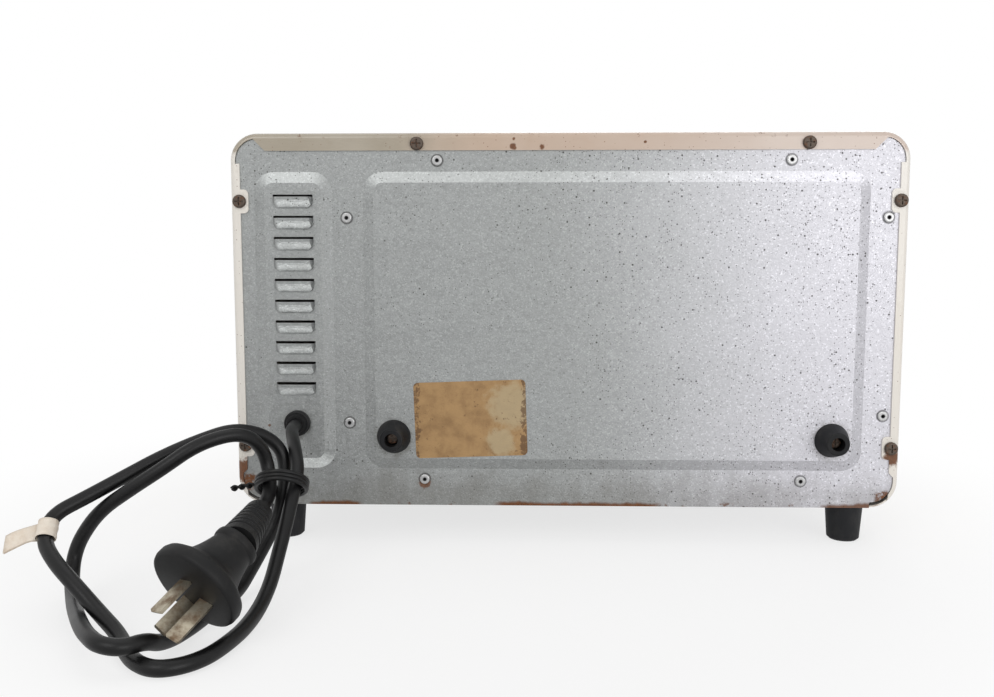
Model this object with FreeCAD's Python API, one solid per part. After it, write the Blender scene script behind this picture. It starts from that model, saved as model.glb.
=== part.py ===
"""Countertop toaster oven: a wrapped enamel shell round a galvanised rear panel and base, with a
drop-down glass door, a rack that the door draws out, a slide-out crumb tray and three turning knobs.

Millimetres, +Z up, the front faces -Y. The origin is under the middle of the oven, on the surface it
stands on. Every node is one STEP file in parts/.
"""

import FreeCAD
import Part
import math
import os
from FreeCAD import Vector as V

# Driving dimensions of the case
WIDTH = 370.0
BODY_H = 207.0
FOOT_H = 21.0
BODY_D = 225.0
FRONT_REACH = 42.0  # the handle stands this far in front of the shell
SPACER_H = 13.0  # the wall spacers stand this far behind the shell
CORNER_R = 15.0
BEND_R = 3.0
SHEET = 0.8

X_SIDE = WIDTH / 2
Z_BASE = FOOT_H
Z_TOP = FOOT_H + BODY_H
Y_FRONT = -(BODY_D + FRONT_REACH + SPACER_H) / 2 + FRONT_REACH
Y_REAR = Y_FRONT + BODY_D

# Rear panel
PANEL_Y = Y_REAR - SHEET  # outer face of the rear panel, behind the shell's flange
PLATEAU_H = 2.0
PLATEAU_SLOPE = 6.0
PLATEAU_Z = (42.0, 207.0)
OVEN_PLATEAU_X = (-164.0, 112.0)
VENT_PLATEAU_X = (129.0, 172.0)
PLATEAU_Y = PANEL_Y + PLATEAU_H
PANEL_FOOT = X_SIDE - CORNER_R - 0.4  # half the width of the panel's lower edge, between the shell's ends

# Rear fixings, as (x, z)
FLANGE_TOP_Z = Z_TOP - 9.6
FLANGE_SIDE_X = X_SIDE - 5.4
TAB_X = X_SIDE - 9.8
TAB_HALF = 6.5
SIDE_SCREW_X = X_SIDE - 5.0
SIDE_SCREW_Z = (191.0, 55.0)
TOP_SCREWS = [(82.0, 222.0), (-130.0, 222.0)]
SHELL_SCREWS = TOP_SCREWS + [(s * SIDE_SCREW_X, z) for s in (1, -1) for z in SIDE_SCREW_Z]
RIVETS = [(71, 213), (-121, 213), (121, 182), (-174, 182), (121, 68), (-175, 73), (79, 36), (-131, 36)]
SCREW_HOLE_R = 1.9
RIVET_HOLE_R = 1.65

# Louvres
LOUVRES = 10
LOUVRE_X = 150.2
LOUVRE_W = 22.0
LOUVRE_TOP_Z = 193.4
LOUVRE_PITCH = 11.5
LOUVRE_H = 6.2
LOUVRE_OUT = 2.8
LOUVRE_GAP = 1.2

# Cord
CORD_R = 3.4
CORD_X = 150.0
CORD_Z = 68.0
GROMMET_HOLE_R = 6.3

# Spacers and feet
SPACERS = {"wall_spacer_left": (-147.0, 59.5), "wall_spacer_right": (96.0, 60.5)}
SPACER_R = 9.5
SPACER_TIP_R = 6.2
FOOT_X = 160.0
FOOT_REAR_Y = Y_REAR - 14.0
FOOT_FRONT_Y = Y_FRONT + 18.0
FOOT_R = 10.3
FOOT_TIP_R = 8.8

# Oven cavity
CAVITY_X = (-167.0, 115.0)
ROOF_Z = 206.0
WALL_FRONT_Y = Y_FRONT + 7.5
WALL_REAR_Y = PANEL_Y - SHEET - 0.1
RAIL_Z = 99.0
UPPER_RAIL_Z = 112.0
RAIL_R = 3.0
RAIL_OUT = 11.0  # the rails carry a rack that passes the doorway
WALL_LIP = 11.0

# Front
FRAME_OUT = 8.0  # the front frame stands this far in front of the shell
FRAME_Y = Y_FRONT - FRAME_OUT
FRAME_SHEET = 1.2
DOORWAY_X = (-160.0, 108.0)
DOORWAY_Z = (53.0, 204.0)
RECESS_X = (-173.0, 113.0)
RECESS_Z = (46.0, 214.0)
RECESS_Y = Y_FRONT - 3.0
CRUMB_SLOT_Z = (26.0, 40.0)
CONTROL_X = (118.5, 181.0)
CONTROL_Z = (27.0, 222.0)
KNOB_X = 150.0
KNOB_Z = {"temperature": 187.0, "function": 131.0, "timer": 75.0}
KNOB_R = 16.0
KNOB_D = 17.0
SHAFT_R = 3.0
CONTROL_FACE_Y = FRAME_Y - 1.6
LAMP_Z = 42.0
DEVICE_SCREW_DX = (-11.0, 11.0)

# Door
DOOR_X = (-172.0, 112.0)
DOOR_TOP_Z = 213.0
DOOR_BACK_Y = RECESS_Y - 0.4
DOOR_HALF = 4.2  # half the door's thickness, and the radius of its round bottom edge
HINGE_Y = DOOR_BACK_Y - DOOR_HALF
HINGE_Z = RECESS_Z[0] + DOOR_HALF + 0.4
DOOR_FACE_Y = HINGE_Y - DOOR_HALF
GLASS_X = (-157.0, 97.0)
GLASS_Z = (64.0, 203.0)
WINDOW_MARGIN = 7.0
HANDLE_X = (-135.0, 75.0)
HINGE_PIN_R = 1.5

# Heaters: quartz tubes, two above and two below
HEATER_R = 5.0
HEATERS = {
    "upper_front_heater": (-45.0, 191.0),
    "upper_rear_heater": (65.0, 191.0),
    "lower_front_heater": (-45.0, 54.0),
    "lower_rear_heater": (65.0, 54.0),
}

# The cord's route, as (x, distance behind the rear panel, z): out of the bush, down through the tie to
# the surface, and round two loose loops that the tie gathers, to the back of the plug's strain relief.
CORD_ROUTE = [
    (150, -8, 68), (150, 16, 68), (146, 32, 67), (141, 46, 62), (137, 57, 53), (138, 67, 42),
    (139, 76, 31), (140, 88, 20), (140, 102, 11), (141, 118, 5), (142, 138, 3.6), (145, 155, 3.6),
    (149, 167, 3.6), (156, 175, 3.6), (165, 178, 3.6), (174, 173, 3.6), (183, 162, 3.6), (190, 150, 5),
    (204, 139, 11), (217, 133, 21), (230, 124, 28), (240, 113, 34), (240, 104, 43), (228, 95, 49),
    (213, 86, 57), (198, 78, 65), (183, 68, 71), (169, 59, 75), (157, 50, 71), (149, 45, 63),
    (146, 47, 53), (145, 56, 42), (146, 64, 31), (151, 69, 20), (155, 80, 11), (158, 95, 3.6),
    (162, 113, 3.6), (164, 131, 3.6), (168, 147, 3.6), (170, 159, 6), (171.5, 170, 11.5),
    (177, 178, 12), (186, 178, 13), (194, 170, 13), (204, 155, 11), (219, 129, 7.5), (230, 108, 6.5),
    (235, 98, 11), (237, 91, 19), (233, 91, 29), (223, 92, 42), (207, 93, 53), (193, 91, 62),
    (179, 86, 72), (165, 78, 76), (157, 72, 74), (153, 64, 66), (151, 62, 57), (149, 66, 49),
    (148, 73, 44), (149, 81, 41), (148.4, 89.5, 41),
]
TIE = (144.3, 61.6, 47.8)
TIE_R = 13.0
TAG = (239.7, 109.6, 37.4)
PLUG_FACE = (157.5, 155.0, 26.5)
PLUG_WAY = (0.45, 0.76, -0.47)
PLUG_R = 21.0
PLUG_BACK = 26.0  # from the plug's face back to its collar

NODES = {}


def box(x, y, z):
    """A box from three (low, high) pairs."""
    return Part.makeBox(x[1] - x[0], y[1] - y[0], z[1] - z[0], V(x[0], y[0], z[0]))


def rod(start, end, radius):
    """A cylinder between two points."""
    way = V(*end) - V(*start)
    return Part.makeCylinder(radius, way.Length, V(*start), way)


def along_y(x, z, radius, y):
    """A cylinder along Y from y[0] to y[1]."""
    return rod((x, y[0], z), (x, y[1], z), radius)


def cone_y(x, z, r0, r1, y):
    """A cone along Y, of radius r0 at y[0] and r1 at y[1]."""
    return Part.makeCone(r0, r1, y[1] - y[0], V(x, y[0], z), V(0, 1, 0))


def polygon_y(points, y):
    """A prism along Y over a polygon of (x, z) points."""
    wire = Part.makePolygon([V(px, y[0], pz) for px, pz in points + points[:1]])
    return Part.Face(wire).extrude(V(0, y[1] - y[0], 0))


def round_wire(x, z, radius, y):
    """A rounded rectangle in the plane at y."""
    (x0, x1), (z0, z1), r = x, z, radius
    corners = [(x1 - r, z0 + r, 270), (x1 - r, z1 - r, 0), (x0 + r, z1 - r, 90), (x0 + r, z0 + r, 180)]
    edges = []
    arcs = []
    for cx, cz, start in corners:
        arc = [
            V(cx + r * math.cos(math.radians(start + a)), y, cz + r * math.sin(math.radians(start + a)))
            for a in (0, 45, 90)
        ]
        arcs.append(arc)
    for i, arc in enumerate(arcs):
        edges.append(Part.Arc(*arc).toShape())
        edges.append(Part.makeLine(arc[2], arcs[(i + 1) % 4][0]))
    return Part.Wire(edges)


def round_block(x, z, radius, y):
    """A block along Y over a rounded rectangle."""
    return Part.Face(round_wire(x, z, radius, y[0])).extrude(V(0, y[1] - y[0], 0))


def round_plate(x, y, radius, z):
    """A block along Z over a rounded rectangle."""
    return round_block(x, y, radius, z).mirror(V(0, 0, 0), V(0, 1, -1))


def edges_at_y(shape, y):
    return [e for e in shape.Edges if all(abs(v.Y - y) < 1e-6 for v in e.Vertexes)]


def fuse(shapes):
    first, rest = shapes[0], shapes[1:]
    return first.fuse(rest).removeSplitter() if rest else first


def keep(name, shape):
    """Registers a node's solids."""
    NODES[name] = shape


# Casing


def inset_block(inset, y):
    """The case's rounded block, inset all round."""
    return round_block((-X_SIDE + inset, X_SIDE - inset), (Z_BASE + inset, Z_TOP - inset), CORNER_R - inset, y)


def shell_block(inset, y):
    """The inset block with its rear edge bent over."""
    block = inset_block(inset, y)
    return block.makeFillet(BEND_R - inset, edges_at_y(block, y[1]))


def shell_aperture(y):
    """What the rear flange leaves open: the panel's window, with tabs at the side screws and a relief
    at each corner where the flange is cut back to the bend."""
    window = box((-FLANGE_SIDE_X, FLANGE_SIDE_X), y, (Z_BASE - 5, FLANGE_TOP_Z))
    rim = inset_block(BEND_R, y)
    parts = []
    for s in (1, -1):
        for z in SIDE_SCREW_Z:
            tab = round_block((TAB_X, X_SIDE), (z - TAB_HALF, z + TAB_HALF), 2.5, y)
            window = window.cut(tab if s > 0 else tab.mirror(V(0, 0, 0), V(1, 0, 0)))
        top = [(19.5, 9.6), (12.5, 2.6), (0, 2.6), (0, 16.5), (5.4, 16.5), (5.4, 30), (19.5, 30)]
        low = [(5.4, 20), (0, 14), (0, -5), (15, -5), (15, 20)]
        parts.append(polygon_y([(s * (X_SIDE - px), Z_TOP - pz) for px, pz in top], y).common(rim))
        parts.append(polygon_y([(s * (X_SIDE - px), Z_BASE + pz) for px, pz in low], y).common(rim))
    return fuse([window] + parts)


def outer_shell():
    outer = shell_block(0, (Y_FRONT, Y_REAR))
    inner = shell_block(SHEET, (Y_FRONT - 1, Y_REAR - SHEET))
    shell = outer.cut(inner)
    underside = box((-X_SIDE + CORNER_R, X_SIDE - CORNER_R), (Y_FRONT - 1, Y_REAR + 1), (0, Z_BASE + 3))
    shell = shell.cut([underside, shell_aperture((Y_REAR - 2, Y_REAR + 1))])
    holes = [along_y(x, z, SCREW_HOLE_R, (Y_REAR - 2, Y_REAR + 1)) for x, z in SHELL_SCREWS]
    keep("outer_shell", shell.cut(holes))


def plateau(x, lift):
    """A raised field with sloping sides, lifted by lift from the panel's outer face."""
    slope = PLATEAU_SLOPE
    low = round_wire(x, PLATEAU_Z, 11.0, PANEL_Y + lift - 0.001)
    top = round_wire(
        (x[0] + slope, x[1] - slope),
        (PLATEAU_Z[0] + slope, PLATEAU_Z[1] - slope),
        5.0,
        PLATEAU_Y + lift,
    )
    return Part.makeLoft([low, top], True, True)


def louvre(z, lift, reach):
    """A hood that bulges out of the panel under a slit, open along its top edge at z. Its outline is
    round at the lower corners, and its bulge fades to the ends and the foot."""
    half = LOUVRE_W / 2
    foot = PLATEAU_Y + lift
    y = (foot - reach, foot + LOUVRE_OUT + 1)
    front = round_block((LOUVRE_X - half, LOUVRE_X + half), (z - LOUVRE_H, z + 20), 4.5, y)
    front = front.common(box((0, X_SIDE), y, (0, z)))
    side = Part.makeCylinder(1, LOUVRE_W, V(0, 0, 0), V(1, 0, 0))
    stretch = FreeCAD.Matrix()
    stretch.scale(V(1, LOUVRE_OUT, LOUVRE_H))
    side = side.transformGeometry(stretch)
    side.translate(V(LOUVRE_X - half, foot, z))
    ends = Part.makeCylinder(1, LOUVRE_H + 2, V(0, 0, 0), V(0, 0, 1))
    flat = FreeCAD.Matrix()
    flat.scale(V(half, LOUVRE_OUT * 1.9, 1))
    ends = ends.transformGeometry(flat)
    ends.translate(V(LOUVRE_X, foot, z - LOUVRE_H - 1))
    bulge = side.common(ends).common(box((0, X_SIDE), (foot, y[1]), (0, z)))
    if reach:
        bulge = bulge.fuse(front.common(box((0, X_SIDE), (foot - reach, foot + 0.01), (0, z))))
    return bulge.common(front)


def rear_panel():
    y = (PANEL_Y - SHEET, PANEL_Y)
    panel = inset_block(BEND_R + 0.2, y)
    foot = box((-PANEL_FOOT, PANEL_FOOT), y, (Z_BASE, Z_BASE + CORNER_R))
    panel = fuse([panel, foot, plateau(OVEN_PLATEAU_X, 0), plateau(VENT_PLATEAU_X, 0)])
    panel = panel.cut([plateau(OVEN_PLATEAU_X, -SHEET), plateau(VENT_PLATEAU_X, -SHEET)])
    tops = [LOUVRE_TOP_Z - i * LOUVRE_PITCH for i in range(LOUVRES)]
    panel = fuse([panel] + [louvre(z, 0, 0) for z in tops])
    half = LOUVRE_W / 2
    cuts = [louvre(z, -SHEET, 2 * SHEET) for z in tops]
    cuts += [
        box((LOUVRE_X - half, LOUVRE_X + half), (PLATEAU_Y - 2, PLATEAU_Y + 1), (z - 0.01, z + LOUVRE_GAP))
        for z in tops
    ]
    through = (PANEL_Y - 5, PANEL_Y + 5)
    cuts += [along_y(x, z, 1.4, through) for x, z in SHELL_SCREWS]
    cuts += [along_y(x, z, RIVET_HOLE_R, through) for x, z in RIVETS]
    cuts += [along_y(x, z, 1.6, through) for x, z in SPACERS.values()]
    cuts.append(along_y(CORD_X, CORD_Z, GROMMET_HOLE_R, through))
    keep("rear_panel", panel.cut(cuts))


def base_plate():
    half = X_SIDE - CORNER_R - 0.6
    y = (Y_FRONT + 7.0, WALL_REAR_Y)
    rise = (Z_BASE, Z_BASE + SHEET)
    plate = box((-half, half), y, rise)
    rear = box((-half, half), (y[1] - SHEET, y[1]), (Z_BASE, Z_BASE + 19))
    sides = [box((s, s + SHEET), y, (Z_BASE, Z_BASE + 5)) for s in (-half, half - SHEET)]
    plate = fuse([plate, rear] + sides)
    slot = 24.0
    vents = []
    for row in range(5):
        for col in range(8):
            x = -126 + col * 34.0
            vent_y = (-70 + row * 34, -66 + row * 34)
            vents.append(round_plate((x, x + slot), vent_y, 1.9, (Z_BASE - 1, Z_BASE + 2)))
    holes = [rod((x, fy, Z_BASE - 1), (x, fy, Z_BASE + 2), 2.1) for x, fy in feet_places().values()]
    holes += [along_y(x, z, RIVET_HOLE_R, (y[1] - 2, y[1] + 1)) for x, z in RIVETS if z < 40]
    keep("base_plate", plate.cut(vents + holes))


def feet_places():
    return {
        "foot_front_left": (-FOOT_X, FOOT_FRONT_Y),
        "foot_front_right": (FOOT_X, FOOT_FRONT_Y),
        "foot_rear_left": (-FOOT_X, FOOT_REAR_Y),
        "foot_rear_right": (FOOT_X, FOOT_REAR_Y),
    }


def feet():
    """Tapered feet, each hollowed from below for its screw."""
    screws = []
    for name, (x, y) in feet_places().items():
        foot = Part.makeCone(FOOT_TIP_R, FOOT_R, FOOT_H - 1.0, V(x, y, 0))
        foot = foot.makeChamfer(1.2, [e for e in foot.Edges if all(v.Z < 1e-6 for v in e.Vertexes)])
        foot = foot.fuse(Part.makeCylinder(FOOT_R, 1.0, V(x, y, FOOT_H - 1.0)))
        bore = Part.makeCylinder(4.2, FOOT_H - 5, V(x, y, -1)).fuse(Part.makeCylinder(1.95, 30, V(x, y, -1)))
        keep(name, foot.cut(bore).removeSplitter())
        head = Part.makeCylinder(3.6, 2.2, V(x, y, FOOT_H - 6 - 2.2))
        shank = Part.makeCylinder(1.8, 11.0, V(x, y, FOOT_H - 6.1))
        screws.append(head.fuse(shank).removeSplitter())
    keep("foot_screws", Part.makeCompound(screws))


def cross_recess(x, z, y, size):
    """Two crossed slots, for the head of a screw that faces +Y."""
    width = 0.32 * size
    level = box((x - size, x + size), (y - 0.9, y + 1), (z - width / 2, z + width / 2))
    upright = box((x - width / 2, x + width / 2), (y - 0.9, y + 1), (z - size, z + size))
    return level.fuse(upright)


def pan_screw(x, z, y, radius, length, shank_r):
    """A pan-head screw driven along -Y, with the underside of its head at y."""
    head = along_y(x, z, radius, (y, y + 2.0))
    head = head.makeFillet(1.1, edges_at_y(head, y + 2.0))
    shank = along_y(x, z, shank_r, (y - length, y + 0.1))
    return head.fuse(shank).removeSplitter().cut(cross_recess(x, z, y + 2.0, radius * 0.62))


def rear_fixings():
    screws = [pan_screw(x, z, Y_REAR + 0.02, 3.65, 7.0, 1.35) for x, z in SHELL_SCREWS]
    keep("shell_screws", Part.makeCompound(screws))
    rivets = []
    for x, z in RIVETS:
        flange = along_y(x, z, 2.9, (PANEL_Y + 0.02, PANEL_Y + 1.1))
        flange = flange.makeFillet(0.8, edges_at_y(flange, PANEL_Y + 1.1))
        body = along_y(x, z, 1.55, (PANEL_Y - 3.6, PANEL_Y + 0.1))
        rivet = flange.fuse(body).removeSplitter()
        rivets.append(rivet.cut(along_y(x, z, 0.85, (PANEL_Y - 1.5, PANEL_Y + 2))))
    keep("rear_rivets", Part.makeCompound(rivets))


def spacers():
    tip = Y_REAR + SPACER_H
    screws = []
    for name, (x, z) in SPACERS.items():
        cone = cone_y(x, z, SPACER_R, SPACER_TIP_R, (PLATEAU_Y, tip))
        cone = cone.makeFillet(0.9, edges_at_y(cone, tip))
        bore = along_y(x, z, 1.75, (PLATEAU_Y - 1, tip + 1)).fuse(along_y(x, z, 3.7, (PLATEAU_Y + 4, tip + 1)))
        keep(name, cone.cut(bore))
        screws.append(pan_screw(x, z, PLATEAU_Y + 4.0, 3.3, 10.0, 1.5))
    keep("spacer_screws", Part.makeCompound(screws))


def grommet():
    """The strain relief bush that holds the cord in the rear panel."""
    flange = along_y(CORD_X, CORD_Z, 7.2, (PLATEAU_Y + 0.02, PLATEAU_Y + 3.2))
    flange = flange.makeFillet(1.0, edges_at_y(flange, PLATEAU_Y + 3.2))
    neck = cone_y(CORD_X, CORD_Z, 6.0, 4.9, (PLATEAU_Y + 3.0, PLATEAU_Y + 5.5))
    barrel = along_y(CORD_X, CORD_Z, 6.2, (PANEL_Y - 9, PLATEAU_Y + 0.1))
    groove = box((CORD_X + 4.6, CORD_X + 8), (PANEL_Y - 10, PANEL_Y - 2), (CORD_Z - 2, CORD_Z + 2))
    bush = fuse([flange, neck, barrel]).cut(groove)
    keep("cord_grommet", bush.cut(along_y(CORD_X, CORD_Z, CORD_R + 0.02, (PANEL_Y - 20, PLATEAU_Y + 20))))


def rating_label():
    """A blank plate stuck to the oven plateau, tilted a little."""
    y = PLATEAU_Y + 0.02
    plate = round_block((-31.2, 31.2), (-21.3, 21.3), 2.5, (0, 0.2))
    plate.rotate(V(0, 0, 0), V(0, 1, 0), 2.0)
    plate.translate(V(53.0, y, 70.6))
    keep("rating_label", plate)


# Cavity


def cavity_walls():
    """Side walls of the oven, flanged outward at both ends, with two pressed rails that hold the rack."""
    for name, x, s in (("cavity_left_wall", CAVITY_X[0], -1), ("cavity_right_wall", CAVITY_X[1], 1)):
        face = (x, x + s * SHEET)
        span = (min(face), max(face))
        y = (WALL_FRONT_Y, WALL_REAR_Y)
        z = (Z_BASE + 1.2, ROOF_Z - 0.2)
        wall = box(span, y, z)
        lip = (min(x, x + s * WALL_LIP), max(x, x + s * WALL_LIP))
        ends = [box(lip, (y[1] - SHEET, y[1]), (45.0, z[1])), box(lip, (y[0], y[0] + SHEET), (30.0, z[1]))]
        tip = x - s * (RAIL_OUT - RAIL_R)
        reach = (y[0] + 12, y[1] - 12)
        rails = []
        for rz in (RAIL_Z, UPPER_RAIL_Z):
            rails.append(box((min(x, tip), max(x, tip)), reach, (rz - RAIL_R, rz + RAIL_R)))
            rails.append(along_y(tip, rz, RAIL_R, reach))
        wall = fuse([wall] + rails + ends)
        wall = wall.cut(box((x - 2, x + 2), (y[1] - SHEET - 0.1, y[1] + 1), (0, 40.2)))
        holes = [rod((x - 15, hy, hz), (x + 15, hy, hz), HEATER_R + 0.6) for hy, hz in HEATERS.values()]
        holes += [along_y(rx, rz, RIVET_HOLE_R, (y[1] - 2, y[1] + 1)) for rx, rz in RIVETS]
        keep(name, wall.cut(holes))


def cavity_roof():
    x = (CAVITY_X[0] + 0.3, CAVITY_X[1] - 0.3)
    y = (WALL_FRONT_Y, WALL_REAR_Y)
    roof = box(x, y, (ROOF_Z, ROOF_Z + SHEET))
    rear_lip = box(x, (y[1] - SHEET, y[1]), (ROOF_Z, ROOF_Z + 12))
    front_lip = box(x, (y[0], y[0] + SHEET), (ROOF_Z, ROOF_Z + 9))
    roof = fuse([roof, rear_lip, front_lip])
    holes = [along_y(rx, rz, RIVET_HOLE_R, (y[1] - 2, y[1] + 1)) for rx, rz in RIVETS if rz > 200]
    keep("cavity_roof", roof.cut(holes))


def heaters():
    """Quartz tubes with a coiled element inside and a ceramic cap at each end."""
    x = (CAVITY_X[0] - 6.0, CAVITY_X[1] + 6.0)
    coils = []
    caps = []
    for name, (y, z) in HEATERS.items():
        tube = rod((x[0], y, z), (x[1], y, z), HEATER_R)
        keep(name, tube.cut(rod((x[0] - 1, y, z), (x[1] + 1, y, z), HEATER_R - 1.2)))
        coils.append(rod((x[0] + 2, y, z), (x[1] - 2, y, z), 2.2))
        for end, s in ((x[0], -1), (x[1], 1)):
            cap = rod((end - s * 4.0, y, z), (end + s * 5.0, y, z), 7.4)
            seat = rod((end - s * 5.0, y, z), (end + s * 0.1, y, z), HEATER_R + 0.05)
            wire = rod((end, y, z), (end + s * 6, y, z), 1.0)
            caps.append(cap.cut([seat, wire]))
    keep("heater_coils", Part.makeCompound(coils))
    keep("heater_end_caps", Part.makeCompound(caps))


def wire_rack():
    """A welded grid that slides on the pressed rails, with two hooks at the front."""
    rim = 2.0
    gap = 0.6
    x = (DOORWAY_X[0] + rim + gap, DOORWAY_X[1] - rim - gap)
    y = (WALL_FRONT_Y + 4.0, WALL_REAR_Y - 8.0)
    z = RAIL_Z + RAIL_R + rim + 0.1
    corner = 10.0
    plate_wire = []
    pts = [(x[0] + corner, y[0]), (x[1] - corner, y[0]), (x[1], y[0] + corner), (x[1], y[1] - corner)]
    pts += [(x[1] - corner, y[1]), (x[0] + corner, y[1]), (x[0], y[1] - corner), (x[0], y[0] + corner)]
    for (x0, y0), (x1, y1) in zip(pts, pts[1:] + pts[:1]):
        plate_wire.append(rod((x0, y0, z), (x1, y1, z), rim))
        plate_wire.append(Part.makeSphere(rim, V(x0, y0, z)))
    bars = 15
    step = (x[1] - x[0]) / (bars + 1)
    lift = 1.4
    for i in range(1, bars + 1):
        bx = x[0] + i * step
        plate_wire.append(rod((bx, y[0] - 0.6, z + lift), (bx, y[1] + 0.6, z + lift), 1.3))
    mid = (y[0] + y[1]) / 2
    plate_wire.append(rod((x[0], mid, z - 0.5), (x[1], mid, z - 0.5), 1.4))
    for hx in (-110.0, 57.0):
        plate_wire.append(rod((hx, y[0], z), (hx, y[0], z + 9), 1.5))
        plate_wire.append(Part.makeSphere(1.5, V(hx, y[0], z + 9)))
        plate_wire.append(rod((hx, y[0], z + 9), (hx + 8, y[0], z + 9), 1.5))
    keep("wire_rack", fuse(plate_wire))


def pan(x, y, z, slope, radius, sheet):
    """An open pan with sloping sides and a rolled rim."""

    def level(grow, at):
        return round_wire((x[0] - grow, x[1] + grow), (y[0] - grow, y[1] + grow), radius + grow, at)

    def body(lift, shrink):
        shape = Part.makeLoft([level(-shrink, z[0] + lift), level(slope - shrink, z[1] + 0.001)], True, True)
        return shape.mirror(V(0, 0, 0), V(0, 1, -1))

    return body(0, 0).cut(body(sheet, sheet))


def baking_tray():
    z = (RAIL_Z + RAIL_R + 5.0, RAIL_Z + RAIL_R + 22.0)
    tray = pan((-138.0, 85.0), (-72.0, 96.0), z, 7.0, 12.0, 1.0)
    lip = round_plate((-148.0, 95.0), (-82.0, 106.0), 20.0, (z[1] - 1.0, z[1]))
    lip = lip.cut(round_plate((-144.2, 91.2), (-78.2, 102.2), 17.0, (z[1] - 2.0, z[1] + 1)))
    keep("baking_tray", tray.fuse(lip).removeSplitter())


def crumb_tray():
    """A shallow pan that slides in over the base, with a pull across its front."""
    x = (-155.0, 103.0)
    y = (FRAME_Y - 0.4, WALL_REAR_Y - 6.0)
    z = (Z_BASE + 6.2, CRUMB_SLOT_Z[1] - 3.0)
    hollow = box((x[0] + SHEET, x[1] - SHEET), (y[0] + SHEET, y[1] - SHEET), (z[0] + SHEET, z[1] + 1))
    tray = box(x, y, z).cut(hollow)
    face_z = (CRUMB_SLOT_Z[0] - 1.0, CRUMB_SLOT_Z[1] + 1.5)
    face = round_block((x[0] - 4, x[1] + 4), face_z, 2.0, (y[0] - 1.6, y[0]))
    pull = rod((x[0] + 70, y[0] - 6.0, 33.0), (x[1] - 70, y[0] - 6.0, 33.0), 4.6)
    pull = pull.cut(box((x[0], x[1]), (y[0] - 20, y[0] + 5), (20, 31.5)))
    web = box((x[0] + 70, x[1] - 70), (y[0] - 6.0, y[0]), (33.5, 36.5))
    keep("crumb_tray", fuse([tray, face, pull, web]))


# Front


def front_frame():
    """The pressed front: a rim that caps the shell, a recess for the door and three openings."""
    outer = round_block((-X_SIDE, X_SIDE), (Z_BASE, Z_TOP), CORNER_R, (FRAME_Y, Y_FRONT - 0.02))
    outer = outer.makeFillet(2.5, edges_at_y(outer, FRAME_Y))
    spigot = inset_block(1.2, (Y_FRONT - 1, Y_FRONT + 6))
    hollow = inset_block(2.6, (FRAME_Y + FRAME_SHEET, Y_FRONT + 7))
    pocket_x = (RECESS_X[0] - FRAME_SHEET, RECESS_X[1] + FRAME_SHEET)
    pocket_z = (RECESS_Z[0] - FRAME_SHEET, RECESS_Z[1] + FRAME_SHEET)
    pocket = box(pocket_x, (FRAME_Y + 0.2, RECESS_Y + FRAME_SHEET), pocket_z)
    boss_z = (HINGE_Z - 5.0, HINGE_Z + 5.0)
    bosses = [
        box(side, (FRAME_Y + 0.2, RECESS_Y), boss_z)
        for side in ((RECESS_X[0] - 7.0, RECESS_X[0] - 1.0), (RECESS_X[1] + 1.0, RECESS_X[1] + 5.0))
    ]
    frame = fuse([outer.fuse(spigot).cut(hollow), pocket] + bosses)
    cuts = [
        box(RECESS_X, (FRAME_Y - 1, RECESS_Y), RECESS_Z),
        box(DOORWAY_X, (FRAME_Y - 1, Y_FRONT + 5), DOORWAY_Z),
        box((DOORWAY_X[0] + 1, DOORWAY_X[1] - 1), (FRAME_Y - 1, Y_FRONT + 7), CRUMB_SLOT_Z),
        control_block(3.0, 3.0, (FRAME_Y - 1, FRAME_Y + 3)),
        rod((RECESS_X[0] - 6, HINGE_Y, HINGE_Z), (RECESS_X[1] + 4, HINGE_Y, HINGE_Z), HINGE_PIN_R + 0.05),
    ]
    keep("front_frame", frame.cut(cuts))


def control_block(inset, radius, y):
    """The control panel's outline, inset all round."""
    x = (CONTROL_X[0] + inset, CONTROL_X[1] - inset)
    z = (CONTROL_Z[0] + inset, CONTROL_Z[1] - inset)
    return round_block(x, z, radius, y)


def control_panel():
    """The fascia that the knobs and the lamp sit in, with a rim turned back into the frame."""
    plate = control_block(0, 5.0, (CONTROL_FACE_Y, FRAME_Y - 0.02))
    plate = plate.makeFillet(0.8, edges_at_y(plate, CONTROL_FACE_Y))
    back = control_block(3.2, 3.0, (FRAME_Y - 0.1, FRAME_Y + 4))
    hollow = control_block(5.0, 2.0, (FRAME_Y + 0.4, FRAME_Y + 5))
    through = (FRAME_Y - 5, FRAME_Y + 5)
    holes = [along_y(KNOB_X, LAMP_Z, 4.05, through)]
    for z in KNOB_Z.values():
        holes.append(along_y(KNOB_X, z, SHAFT_R + 0.8, through))
        holes += [along_y(KNOB_X + dx, z, 1.6, through) for dx in DEVICE_SCREW_DX]
    keep("control_panel", fuse([plate, back]).cut([hollow] + holes))


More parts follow.
